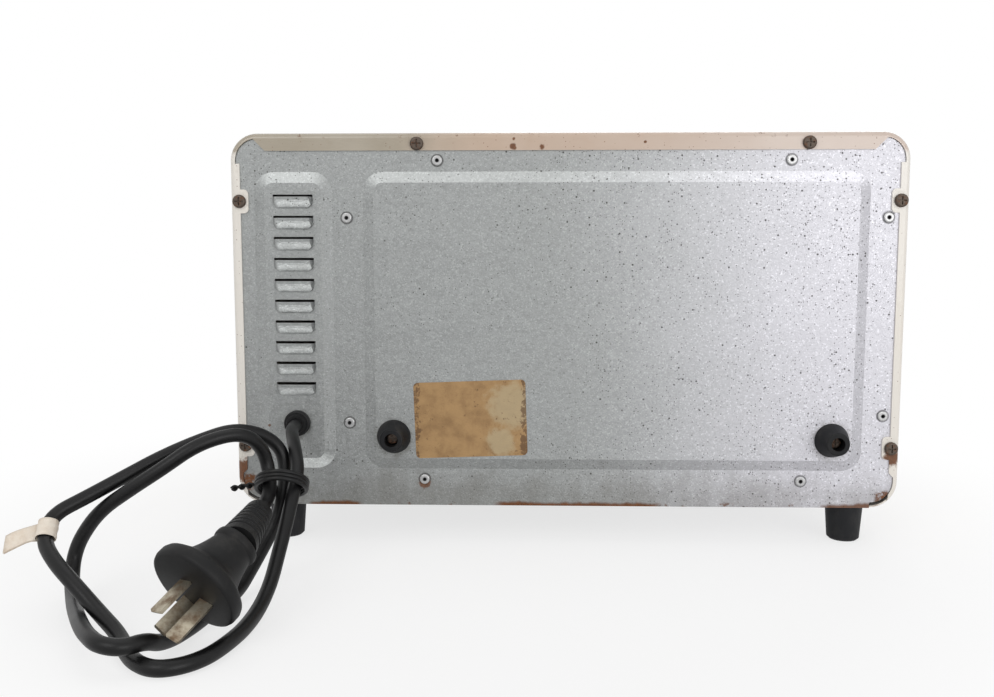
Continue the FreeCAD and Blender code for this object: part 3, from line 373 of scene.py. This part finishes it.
def enamel(name, tint, worn):
    """Baked enamel: orange peel, yellowing, and where worn, a tan bloom and rust on the rear flange."""
    f = Finish(name)
    cloud = f.noise(9, 3, 0.5)
    peel = f.noise(700, 2, 0.5)
    dust = f.noise(120, 5, 0.65)
    colour = f.mix(cloud * 0.5, tint, srgb(214, 200, 178))
    colour = f.mix(f.step(dust, 0.58, 0.78) * 0.25, colour, srgb(160, 146, 128))
    rough = 0.24 + dust * 0.16 + cloud * 0.06
    if worn:
        rear = f.step(f.along("y"), PANEL_Y - 0.004, PANEL_Y)
        top = f.step(f.along("z"), SHELL_HIGH.z - 0.012, SHELL_HIGH.z - 0.009)
        side = f.noise(30, 3, 0.6)
        bloom = rear * top * (0.72 + side * 0.3)
        warm = f.fall(f.along("x") + side * 0.04, -0.14, 0.08)
        left = f.step(f.along("x") + side * 0.05, 0.06, 0.13)
        stain = f.mix(left, f.mix(warm, srgb(178, 152, 130), srgb(196, 178, 166)), srgb(146, 135, 116))
        colour = f.mix(bloom, colour, stain)
        low = f.along("z")
        speckle = f.fall(f.cells(900), 0.10, 0.32) * f.step(f.grain(900) + side * 0.4, 1.10, 1.14)
        rim = f.step(low, SHELL_HIGH.z - 0.0035, SHELL_HIGH.z - 0.0018)
        edge = f.step(f.noise(160, 5, 0.7), 0.60, 0.66) * rim
        foot = f.fall(low + f.noise(120, 4, 0.6) * 0.012, SHELL_LOW.z + 0.004, SHELL_LOW.z + 0.010)
        marks = spots(f, [(0.0296, 0.2202, 0.0021), (0.0138, 0.2201, 0.0019), (0.0290, 0.2245, 0.0010),
                          (-0.042, 0.2226, 0.0010), (-0.181, 0.050, 0.0060), (0.181, 0.040, 0.009)], 500)
        mask = rear * f.larger(f.larger(speckle * 0.9, edge * 0.8), f.larger(foot * 0.8, marks))
        colour, rough = rust_over(f, mask, colour, rough)
    normal = f.bump(peel + dust * 0.3, 0.00006, 0.4)
    return f.paint(base_color=colour, roughness=rough, coat_weight=0.35, coat_roughness=0.15, normal=normal)


def dark_enamel(name, tint, shine):
    f = Finish(name)
    dust = f.noise(160, 5, 0.65)
    smear = f.noise(22, 3, 0.6, (1, 1, 0.4))
    peel = f.noise(900, 2, 0.5)
    colour = f.mix(f.step(dust + smear * 0.3, 0.55, 0.95) * 0.12, tint, srgb(110, 107, 102))
    rough = shine + smear * 0.14 + dust * 0.08
    return f.paint(base_color=colour, roughness=rough, coat_weight=0.3, normal=f.bump(peel, 0.00005, 0.4))


def bare_steel(name, tint, rough, brushed=(1, 1, 1), heat=0.0):
    """Rolled sheet or wire: a grain along the rolling, smudges, and a straw tint where it has been hot."""
    f = Finish(name)
    lines = f.noise(1200, 3, 0.6, brushed)
    smudge = f.noise(35, 4, 0.6)
    colour = f.shade(tint, 0.82 + lines * 0.2 + smudge * 0.16)
    if heat:
        straw = f.step(f.noise(16, 3, 0.6), 0.4, 0.7) * heat
        colour = f.mix(straw, colour, srgb(150, 118, 78))
    roughness = rough + smudge * 0.16 + lines * 0.06
    return f.paint(base_color=colour, roughness=roughness, metallic=0.95, normal=f.bump(lines, 0.00004, 0.5))


def rusty_steel(name, amount):
    """Dark screw steel, rusted in patches."""
    f = Finish(name)
    patch = f.step(f.noise(420, 5, 0.7), 0.62 - amount * 0.3, 0.70)
    fine = f.noise(2500, 3, 0.6)
    colour = f.shade(srgb(96, 86, 78), 0.5 + fine * 0.6)
    colour, rough, metal = rust_over(f, patch, colour, 0.42 + fine * 0.1, 0.85 + fine * 0)
    normal = f.bump(fine + patch, 0.00012, 0.6)
    return f.paint(base_color=colour, roughness=rough, metallic=metal, normal=normal)


def moulding(name, tint, rough, dusty=0.25, grain=900):
    """Moulded plastic or rubber: a fine texture, scuffs and dust that lies on its upper sides."""
    f = Finish(name)
    texture = f.noise(grain, 3, 0.6)
    scuff = f.noise(90, 5, 0.7, (1, 1, 0.5))
    up = f.node("ShaderNodeSeparateXYZ", {}, {0: f.node("ShaderNodeNewGeometry", {}, {}, "Normal")}, 2)
    dust = f.step(scuff, 0.45, 0.8) * (0.35 + f.step(up, -0.2, 0.9) * 0.65) * dusty
    colour = f.mix(dust, tint, srgb(132, 128, 122))
    roughness = rough + scuff * 0.18 + dust * 0.25
    normal = f.bump(texture + scuff * 0.5, 0.00007, 0.5)
    return f.paint(base_color=colour, roughness=roughness, specular_ior_level=0.26, normal=normal)


def cord_sheath():
    """Black sheath with a soft sheen, drawing lines along it, and rubbed dusty patches."""
    f = Finish("cord_sheath")
    rub = f.noise(55, 5, 0.65)
    fine = f.noise(1500, 2, 0.6)
    colour = f.mix(f.step(rub, 0.50, 0.85) * 0.12, srgb(9, 9, 10), srgb(84, 82, 80))
    rough = 0.30 + rub * 0.20
    normal = f.bump(fine + rub * 0.6, 0.00006, 0.5)
    return f.paint(base_color=colour, roughness=rough, specular_ior_level=0.28, normal=normal)


def clear_glass(name, tint, alpha, rough=0.04):
    """Glass that lets the inside show: a weak tint over a clear body, greasy in patches."""
    f = Finish(name)
    film = f.noise(26, 4, 0.6)
    return f.paint(
        base_color=f.mix(film * 0.3, tint, srgb(190, 186, 176)), roughness=rough + film * 0.10,
        alpha=alpha + film * 0.06, coat_weight=0.6, ior=1.5,
    )


def paper(name, tint, shade, patches=()):
    """Aged paper: fibres, foxing and, on the rating plate's backing, a paler torn place."""
    f = Finish(name)
    fibre = f.noise(2200, 4, 0.7, (0.4, 1, 1))
    blot = f.noise(110, 5, 0.65)
    colour = f.mix(f.step(blot, 0.35, 0.75), tint, shade)
    if patches:
        worn = spots(f, patches, 220)
        colour = f.mix(worn * 0.7, colour, srgb(176, 160, 128))
        low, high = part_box("rating_label")
        rim = f.larger(
            strip(f, "x", low.x, low.x + 0.0022, 0.003), strip(f, "x", high.x - 0.0022, high.x, 0.003)
        )
        stain = f.step(f.noise(300, 5, 0.7) + rim * 0.18, 0.60, 0.70)
        colour = f.mix(stain * 0.75, colour, srgb(84, 56, 34))
    colour = f.shade(colour, 0.86 + fibre * 0.24)
    return f.paint(base_color=colour, roughness=0.62 + fibre * 0.2, normal=f.bump(fibre + blot, 0.00008, 0.6))


def plain(name, tint, rough, metal=0.0, glow=None):
    """A small part's finish, with a fine mottle and, where glow is given, a painted glow."""
    f = Finish(name)
    mottle = f.noise(500, 4, 0.6)
    extra = {"emission_color": glow, "emission_strength": 0.6} if glow else {}
    return f.paint(
        base_color=f.shade(tint, 0.8 + mottle * 0.4), roughness=rough + mottle * 0.15, metallic=metal,
        normal=f.bump(mottle, 0.00005, 0.5), **extra,
    )


def stained_pins():
    """Nickelled brass gone brown towards the tips."""
    f = Finish("plug_pin_metal")
    stain = f.step(f.noise(160, 4, 0.6), 0.35, 0.7)
    lines = f.noise(1800, 3, 0.6, (0.3, 0.3, 1))
    colour = f.shade(f.mix(stain, srgb(176, 168, 150), srgb(116, 96, 76)), 0.8 + lines * 0.35)
    rough = 0.28 + stain * 0.2
    return f.paint(base_color=colour, roughness=rough, metallic=0.9, normal=f.bump(lines, 0.00004))


def dress():
    """Gives every carried-over solid its finish."""
    steel = bare_steel("plated_steel", srgb(196, 194, 190), 0.28)
    cavity = bare_steel("cavity_sheet", srgb(184, 182, 178), 0.36, (0.05, 1, 1), heat=0.55)
    black = moulding("black_moulding", srgb(16, 16, 17), 0.40, 0.16)
    ceramic = plain("white_ceramic", srgb(226, 220, 204), 0.55)
    quartz = clear_glass("quartz", srgb(226, 222, 212), 0.38, 0.2)
    brass = plain("turned_brass", srgb(190, 160, 96), 0.3, 0.95)
    knob = moulding("knob_moulding", srgb(24, 24, 25), 0.28, 0.15, 1600)
    foot = moulding("foot_moulding", srgb(20, 21, 24), 0.46, 0.2)
    rubber = moulding("spacer_rubber", srgb(11, 12, 15), 0.48, 0.16)
    screws = rusty_steel("rusted_screw", 0.45)
    worn_places = [(0.030, 0.078, 0.016), (0.036, 0.058, 0.010)]
    finishes = {
        galvanised("rear_zinc", True): ["rear_panel"],
        galvanised("base_zinc", False): ["base_plate"],
        enamel("shell_enamel", srgb(224, 221, 216), True): ["outer_shell"],
        enamel("front_enamel", srgb(234, 228, 216), False): ["front_frame"],
        dark_enamel("fascia_enamel", srgb(70, 70, 72), 0.32): ["control_panel"],
        dark_enamel("door_enamel", srgb(30, 30, 31), 0.24): ["door_frame"],
        dark_enamel("tray_enamel", srgb(24, 25, 28), 0.16): ["baking_tray"],
        cavity: ["cavity_left_wall", "cavity_right_wall", "cavity_roof"],
        bare_steel("crumb_tray_sheet", srgb(190, 188, 184), 0.32, (0.05, 1, 1), heat=0.25): ["crumb_tray"],
        bare_steel("rack_chrome", srgb(214, 214, 216), 0.14): ["wire_rack"],
        clear_glass("door_pane", srgb(190, 198, 196), 0.16): ["door_glass"],
        steel: [
            "glass_clips", "door_hinge_pins", "handle_screws", "device_screws", "foot_screws", "timer_clockwork",
        ],
        bare_steel("bell_nickel", srgb(206, 204, 196), 0.16): ["timer_bell"],
        screws: ["shell_screws", "spacer_screws"],
        rivet_metal(): ["rear_rivets"],
        quartz: ["upper_front_heater", "upper_rear_heater", "lower_front_heater", "lower_rear_heater"],
        ceramic: ["heater_end_caps", "thermostat", "terminal_block"],
        black: ["selector_switch", "door_handle", "cord_grommet"],
        knob: ["temperature_knob", "function_knob", "timer_knob"],
        brass: ["temperature_shaft", "function_shaft", "timer_shaft"],
        foot: ["foot_front_left", "foot_front_right", "foot_rear_left", "foot_rear_right"],
        rubber: ["wall_spacer_left", "wall_spacer_right"],
        stained_pins(): ["plug_pins"],
        paper("label_paper", srgb(168, 134, 90), srgb(140, 108, 70), worn_places): ["rating_label"],
        # The indicator lens carries a painted glow, as if its lamp were lit.
        plain("lamp_lens", srgb(168, 60, 24), 0.2, 0.0, srgb(120, 40, 16)): ["indicator_lens"],
        plain("lamp_glass", srgb(236, 190, 140), 0.2): ["indicator_bulb"],
        plain("wire_sleeve", srgb(206, 192, 160), 0.7): ["internal_wiring"],
    }
    for material, nodes in finishes.items():
        for node in nodes:
            solid = frame["nodes"][node]
            solid.data.materials.clear()
            solid.data.materials.append(material)


# Mesh helpers


def piece(name, bm, material, body="case", smooth=True):
    """Makes an object from a bmesh, with its place in its mesh, and puts it on a body."""
    mesh = bpy.data.meshes.new(name)
    bm.to_mesh(mesh)
    bm.free()
    mesh.materials.append(material)
    for polygon in mesh.polygons:
        polygon.use_smooth = smooth
    made = bpy.data.objects.new(name, mesh)
    bpy.context.scene.collection.objects.link(made)
    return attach(made, body)


def placed(x_way, y_way, z_way, origin):
    """The matrix that takes local axes to three directions at an origin."""
    turn = Matrix((x_way, y_way, z_way)).transposed().to_4x4()
    turn.translation = origin
    return turn


def frame_on(way, hint):
    """Two directions square to a way, the first as near the hint as can be."""
    first = (hint - way * hint.dot(way)).normalized()
    return first, way.cross(first)


def turned(bm, profile, steps):
    """Spins a profile of (radius, height) points round Z into a closed round body."""
    rim = [bm.verts.new((radius, 0, height)) for radius, height in profile]
    edges = [bm.edges.new(pair) for pair in zip(rim, rim[1:])]
    bmesh.ops.spin(
        bm, geom=rim + edges, cent=(0, 0, 0), axis=(0, 0, 1), dvec=(0, 0, 0), angle=math.tau, steps=steps,
        use_merge=True, use_normal_flip=False, use_duplicate=False,
    )
    bmesh.ops.remove_doubles(bm, verts=bm.verts, dist=1e-6)
    bmesh.ops.recalc_face_normals(bm, faces=bm.faces)


def winding(bm, radius, wire, turns, pitch, start, steps=14, sides=6):
    """Winds a wire into a helix round Z, from start."""
    ring = bmesh.ops.create_circle(bm, cap_ends=False, segments=sides, radius=wire)["verts"]
    bmesh.ops.rotate(bm, verts=ring, cent=(0, 0, 0), matrix=Matrix.Rotation(math.pi / 2, 3, "X"))
    bmesh.ops.translate(bm, verts=ring, vec=(radius, 0, start))
    edges = list({e for v in ring for e in v.link_edges})
    bmesh.ops.spin(
        bm, geom=ring + edges, cent=(0, 0, 0), axis=(0, 0, 1), dvec=(0, 0, pitch / steps),
        angle=math.tau * turns, steps=int(steps * turns), use_merge=False, use_normal_flip=False,
        use_duplicate=False,
    )
    bmesh.ops.holes_fill(bm, edges=[e for e in bm.edges if e.is_boundary], sides=sides)
    bmesh.ops.recalc_face_normals(bm, faces=bm.faces)


# The lead


def lead():
    """The lead, on one smooth line through its tie."""
    curve = bpy.data.curves.new("lead", "CURVE")
    curve.dimensions = "3D"
    curve.bevel_depth = CORD_R
    curve.bevel_resolution = 6
    curve.resolution_u = 10
    curve.use_fill_caps = True
    line = curve.splines.new("NURBS")
    line.points.add(len(CORD_ROUTE) - 1)
    for point, (x, behind, z) in zip(line.points, CORD_ROUTE):
        point.co = (x, PANEL_Y + behind, z, 1)
    line.order_u = 3
    line.use_endpoint_u = True
    curve.materials.append(cord_sheath())
    made = bpy.data.objects.new("lead", curve)
    bpy.context.scene.collection.objects.link(made)
    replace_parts(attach(made, "case"), "power_cord")
    return made


def plug():
    """The plug's moulding: a rounded face, a waisted body, a collar and a ribbed relief."""
    rubber = moulding("plug_moulding", srgb(11, 11, 12), 0.44, 0.10, 1400)
    face = [
        (0, 0), (19.4, 0), (20.5, -0.4), (21.0, -1.6), (21.0, -4.4), (20.4, -5.8), (18.8, -7.0), (16.6, -8.6),
    ]
    waist = [(14.0, -10.4), (12.8, -12.6), (11.6, -15.6), (10.6, -19.0), (9.8, -22.4), (9.4, -23.8)]
    collar = [
        (9.5, -24.1), (10.1, -24.6), (10.3, -25.4), (10.3, -26.8), (10.0, -27.7), (9.2, -28.1), (0, -28.1),
    ]
    bm = bmesh.new()
    turned(bm, [(r * MM, h * MM) for r, h in face + waist + collar], 56)
    across, up = frame_on(PLUG_WAY, Vector((-0.75, 0, -0.66)))
    bmesh.ops.transform(bm, matrix=placed(across, up, PLUG_WAY, PLUG_FACE), verts=bm.verts)
    body = piece("plug_shell", bm, rubber)
    relief = strain_relief(rubber)
    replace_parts(body, "plug_body")
    return [body, relief]


def strain_relief(rubber):
    """A thick tapered sleeve from the collar to the lead, cut by rows of broad grooves."""
    back = PLUG_FACE - PLUG_WAY * PLUG_BACK
    x, behind, z = CORD_ROUTE[-1]
    end = Vector((x, PANEL_Y + behind, z))
    way = (end - back).normalized()
    length = (end - back).length + 1 * MM
    profile = [(0, 0), (9.0 * MM, 0)]
    ribs = 6
    for i in range(ribs):
        low = (6 + i * 5.6) * MM
        radius = (8.9 - 0.36 * i) * MM
        profile += [(radius, low), (radius - 1.3 * MM, low + 0.4 * MM), (radius - 1.5 * MM, low + 2.2 * MM)]
        profile += [(radius - 0.15 * MM, low + 2.7 * MM)]
    profile += [(6.5 * MM, length - 2 * MM), (5.0 * MM, length), (0, length)]
    bm = bmesh.new()
    turned(bm, profile, 40)
    first, second = frame_on(way, Vector((1, 0, 0)))
    bmesh.ops.transform(bm, matrix=placed(first, second, way, back), verts=bm.verts)
    return piece("plug_relief", bm, rubber, smooth=False)


def tie():
    """A coated wire wound twice round the strands, its ends twisted into a tail."""
    coat = moulding("tie_coating", srgb(12, 12, 13), 0.30, 0.1, 1500)
    bm = bmesh.new()
    winding(bm, 12.4 * MM, 1.15 * MM, 3.1, 1.9 * MM, -2.9 * MM, 40, 8)
    first, second = frame_on(TIE_AXIS, Vector((1, 0, 0)))
    bmesh.ops.transform(bm, matrix=placed(first, second, TIE_AXIS, TIE), verts=bm.verts)
    hoop = piece("tie_hoop", bm, coat)
    bm = bmesh.new()
    for start in (0, math.pi):
        strand = bmesh.new()
        winding(strand, 0.8 * MM, 0.85 * MM, 1.7, 7.6 * MM, 0, 18, 8)
        bmesh.ops.rotate(strand, verts=strand.verts, cent=(0, 0, 0), matrix=Matrix.Rotation(start, 3, "Z"))
        twisted = bpy.data.meshes.new("twist")
        strand.to_mesh(twisted)
        strand.free()
        bm.from_mesh(twisted)
        bpy.data.meshes.remove(twisted)
    way = Vector((0.83, 0.52, -0.05)).normalized()
    first, second = frame_on(way, Vector((0, 0, 1)))
    start = TIE + Vector((12.0 * MM, 1 * MM, 0))
    bmesh.ops.transform(bm, matrix=placed(first, second, way, start), verts=bm.verts)
    tail = piece("tie_tail", bm, coat)
    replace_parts(hoop, "cord_tie")
    return [hoop, tail]


def tag():
    """A paper strip wrapped round the lead, its two ends stuck together into a flag that droops."""
    stock = paper("tag_paper", srgb(232, 222, 208), srgb(214, 196, 176))
    across = 8.6 * MM
    radius = 4.3 * MM
    bm = bmesh.new()
    edge = [bm.verts.new((radius, 0, -across / 2 + i * across / 8)) for i in range(9)]
    sides = [bm.edges.new(pair) for pair in zip(edge, edge[1:])]
    bmesh.ops.spin(
        bm, geom=edge + sides, cent=(0, 0, 0), axis=(0, 0, 1), dvec=(0, 0, 0), angle=math.tau * 0.965,
        steps=30, use_merge=False, use_normal_flip=False, use_duplicate=False,
    )
    ends = [e for e in bm.edges if e.is_boundary and abs(e.verts[0].co.z - e.verts[1].co.z) > 1e-6]
    for i in range(6):
        grown = bmesh.ops.extrude_edge_only(bm, edges=ends)["geom"]
        verts = [g for g in grown if isinstance(g, bmesh.types.BMVert)]
        ends = [g for g in grown if isinstance(g, bmesh.types.BMEdge) and g.is_boundary]
        ends = [e for e in ends if all(v in verts for v in e.verts)]
        bmesh.ops.translate(bm, verts=verts, vec=(2.4 * MM, (0.10 + 0.09 * i) * MM, -0.28 * i * MM))
    for vert in bm.verts:
        if vert.co.x > radius:
            vert.co.y *= 0.9 - 0.3 * min(1, (vert.co.x - radius) / (6 * MM))
            vert.co.y += 0.5 * MM * math.sin(vert.co.x * 420 + vert.co.z * 260)
        else:
            swell = 1 + 0.035 * math.sin(vert.co.z * 1500) + 0.02 * math.sin(vert.co.y * 1900)
            vert.co.x *= swell
            vert.co.y *= swell
    bmesh.ops.recalc_face_normals(bm, faces=bm.faces)
    bmesh.ops.solidify(bm, geom=bm.faces, thickness=0.18 * MM)
    first, second = frame_on(TAG_AXIS, Vector((0.95, 0.12, -0.32)))
    bmesh.ops.transform(bm, matrix=placed(first, second, TAG_AXIS, TAG), verts=bm.verts)
    wrap = piece("paper_tag", bm, stock)
    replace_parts(wrap, "cord_tag")
    return [wrap]


def lead_and_fittings():
    cord = lead()
    on_cord = plug() + tie() + tag() + [frame["nodes"]["plug_pins"]]


# Inside and front


def heater_windings():
    """The wound wire inside each quartz tube."""
    wire = plain("resistance_wire", srgb(120, 108, 96), 0.5, 0.8)
    windings = []
    for name in ("upper_front_heater", "upper_rear_heater", "lower_front_heater", "lower_rear_heater"):
        low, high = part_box(name)
        centre = (low + high) / 2
        half = (high.x - low.x) / 2 - 3 * MM
        bm = bmesh.new()
        winding(bm, 2.3 * MM, 0.35 * MM, half * 2 / (2.2 * MM), 2.2 * MM, -half, 10, 4)
        across = placed(Vector((0, 1, 0)), Vector((0, 0, 1)), Vector((1, 0, 0)), centre)
        bmesh.ops.transform(bm, matrix=across, verts=bm.verts)
        windings.append(piece(name.replace("heater", "winding"), bm, wire))
    for winding_piece in windings:
        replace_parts(winding_piece, "heater_coils")


def words(text, size, thickness=0.08 * MM):
    """Flat raised lettering, centred, facing up in its own XY plane."""
    curve = bpy.data.curves.new("lettering", "FONT")
    curve.body = text
    curve.size = size
    curve.align_x = "CENTER"
    curve.align_y = "CENTER"
    curve.extrude = thickness / 2
    holder = bpy.data.objects.new("lettering", curve)
    bpy.context.scene.collection.objects.link(holder)
    bpy.context.view_layer.update()
    mesh = bpy.data.meshes.new_from_object(holder)
    bpy.data.objects.remove(holder)
    bpy.data.curves.remove(curve)
    return mesh


def dial_marks():
    """Numbers and ticks round each knob."""
    ink = plain("dial_ink", srgb(226, 224, 216), 0.5)
    face_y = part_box("control_panel")[0].y
    upright = placed(Vector((1, 0, 0)), Vector((0, 0, 1)), Vector((0, -1, 0)), Vector((0, 0, 0)))
    scales = {
        "temperature": (270, ["0", "100", "150", "200", "250"]),
        "function": (135, ["0", "1", "2", "3"]),
        "timer": (300, ["0", "15", "30", "45", "60"]),
    }
    for name, (sweep, labels) in scales.items():
        low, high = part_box(name + "_knob")
        centre = (low + high) / 2
        bm = bmesh.new()
        for i, label in enumerate(labels):
            angle = math.radians(90 - sweep * i / (len(labels) - 1))
            way = Vector((math.cos(angle), 0, math.sin(angle)))
            at = Vector((centre.x, face_y - 0.06 * MM, centre.z))
            mesh = words(label, 5.4 * MM)
            mesh.transform(Matrix.Translation(at + way * 23.5 * MM) @ upright)
            bm.from_mesh(mesh)
            bpy.data.meshes.remove(mesh)
            tick = bmesh.ops.create_cube(bm, size=1)["verts"]
            bmesh.ops.scale(bm, vec=(2.2 * MM, 0.1 * MM, 0.5 * MM), verts=tick)
            spin = Matrix.Rotation(-angle, 3, "Y")
            bmesh.ops.rotate(bm, cent=(0, 0, 0), matrix=spin, verts=tick)
            bmesh.ops.translate(bm, vec=at + way * 18.6 * MM, verts=tick)
        piece(name + "_scale", bm, ink, smooth=False)


def knob_pointers():
    """A pale line let into the top of each knob's grip."""
    ink = plain("pointer_ink", srgb(232, 230, 224), 0.45)
    for name in ("temperature", "function", "timer"):
        low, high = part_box(name + "_knob")
        bm = bmesh.new()
        line = bmesh.ops.create_cube(bm, size=1)["verts"]
        bmesh.ops.scale(bm, vec=(1.0 * MM, 0.5 * MM, 8.2 * MM), verts=line)
        middle = (low + high) / 2
        bmesh.ops.translate(bm, vec=(middle.x, low.y + 0.42 * MM, middle.z + 9.4 * MM), verts=line)
        piece(name + "_pointer", bm, ink, name + "_control", smooth=False)


# Stage


def stage_finish():
    """White to the camera and in reflections, and lit by the lamps for everything else."""
    f = Finish("studio_floor")
    f.paint(base_color=(0.9, 0.9, 0.9), roughness=0.9)
    seen = f.node("ShaderNodeLightPath", {}, {}, "Is Camera Ray")
    glossy = f.node("ShaderNodeLightPath", {}, {}, "Is Glossy Ray")
    glow = f.node("ShaderNodeEmission", {}, {"Color": (1, 1, 1), "Strength": 1.0}, "Emission")
    lit = Value(f, f.surface.outputs[0])
    far = f.step(f.away((0.04, 0.08, 0)), 0.22, 0.42)
    shown = seen * (0.72 + far * 0.28) + glossy * 0.5
    mixed = f.node("ShaderNodeMixShader", {}, {0: shown, 1: lit, 2: glow})
    f.feed(f.tree.nodes["Material Output"].inputs["Surface"], mixed)
    return f.material


def floor():
    bm = bmesh.new()
    bmesh.ops.create_grid(bm, x_segments=1, y_segments=1, size=12)
    bmesh.ops.translate(bm, vec=(0, 0, -0.2 * MM), verts=bm.verts)
    mesh = bpy.data.meshes.new("studio_floor")
    bm.to_mesh(mesh)
    bm.free()
    mesh.materials.append(stage_finish())
    ground = bpy.data.objects.new("studio_floor", mesh)
    bpy.context.scene.collection.objects.link(ground)


def world():
    made = bpy.data.worlds.new("studio")
    bpy.context.scene.world = made
    made.use_nodes = True
    nodes, links = made.node_tree.nodes, made.node_tree.links
    background = nodes["Background"]
    background.inputs["Color"].default_value = (1, 1, 1, 1)
    path = nodes.new("ShaderNodeLightPath")
    shown = nodes.new("ShaderNodeMath")
    shown.operation = "MAXIMUM"
    links.new(path.outputs["Is Camera Ray"], shown.inputs[0])
    passed = nodes.new("ShaderNodeMath")
    passed.operation = "MAXIMUM"
    links.new(path.outputs["Is Glossy Ray"], passed.inputs[0])
    links.new(path.outputs["Is Transmission Ray"], passed.inputs[1])
    links.new(passed.outputs[0], shown.inputs[1])
    level = nodes.new("ShaderNodeMapRange")
    level.inputs["To Min"].default_value = 0.55
    level.inputs["To Max"].default_value = 1.0
    links.new(shown.outputs[0], level.inputs["Value"])
    links.new(level.outputs[0], background.inputs["Strength"])


def lamp(name, place, aim, size, watts):
    light = bpy.data.lights.new(name, "AREA")
    light.shape = "RECTANGLE"
    light.size, light.size_y = size
    light.energy = watts
    made = bpy.data.objects.new(name, light)
    made.location = place
    made.rotation_euler = (Vector(aim) - Vector(place)).to_track_quat("-Z", "Y").to_euler()
    bpy.context.scene.collection.objects.link(made)


def camera():
    """Behind the oven, a little above the middle of its height, looking slightly down."""
    lens = bpy.data.cameras.new("camera")
    lens.sensor_width = 36
    lens.lens = 34.41
    made = bpy.data.objects.new("camera", lens)
    made.location = (0.0238, PANEL_Y + 0.5249, 0.1627)
    pitch, yaw = math.radians(-5.73), math.radians(1.58)
    way = Vector((math.sin(yaw) * math.cos(pitch), -math.cos(yaw) * math.cos(pitch), math.sin(pitch)))
    made.rotation_euler = way.to_track_quat("-Z", "Y").to_euler()
    lens.clip_start = 0.01
    bpy.context.scene.collection.objects.link(made)
    bpy.context.scene.camera = made


def stage():
    floor()
    world()
    lamp("key", (0.75, 1.55, 1.15), (0, 0.12, 0.08), (0.9, 0.7), 7)
    lamp("side", (-1.15, 1.85, 0.45), (-0.12, 0.12, 0.12), (1.3, 1.1), 13)
    lamp("top", (0.0, 0.0, 2.0), (0, 0, 0.1), (1.6, 1.6), 5)
    lamp("front", (-0.5, -1.8, 1.1), (0, -0.12, 0.1), (1.4, 1.0), 12)
    camera()


stage()
lead_and_fittings()
dress()
heater_windings()
dial_marks()
knob_pointers()

bpy.context.scene.view_settings.view_transform = "Standard"
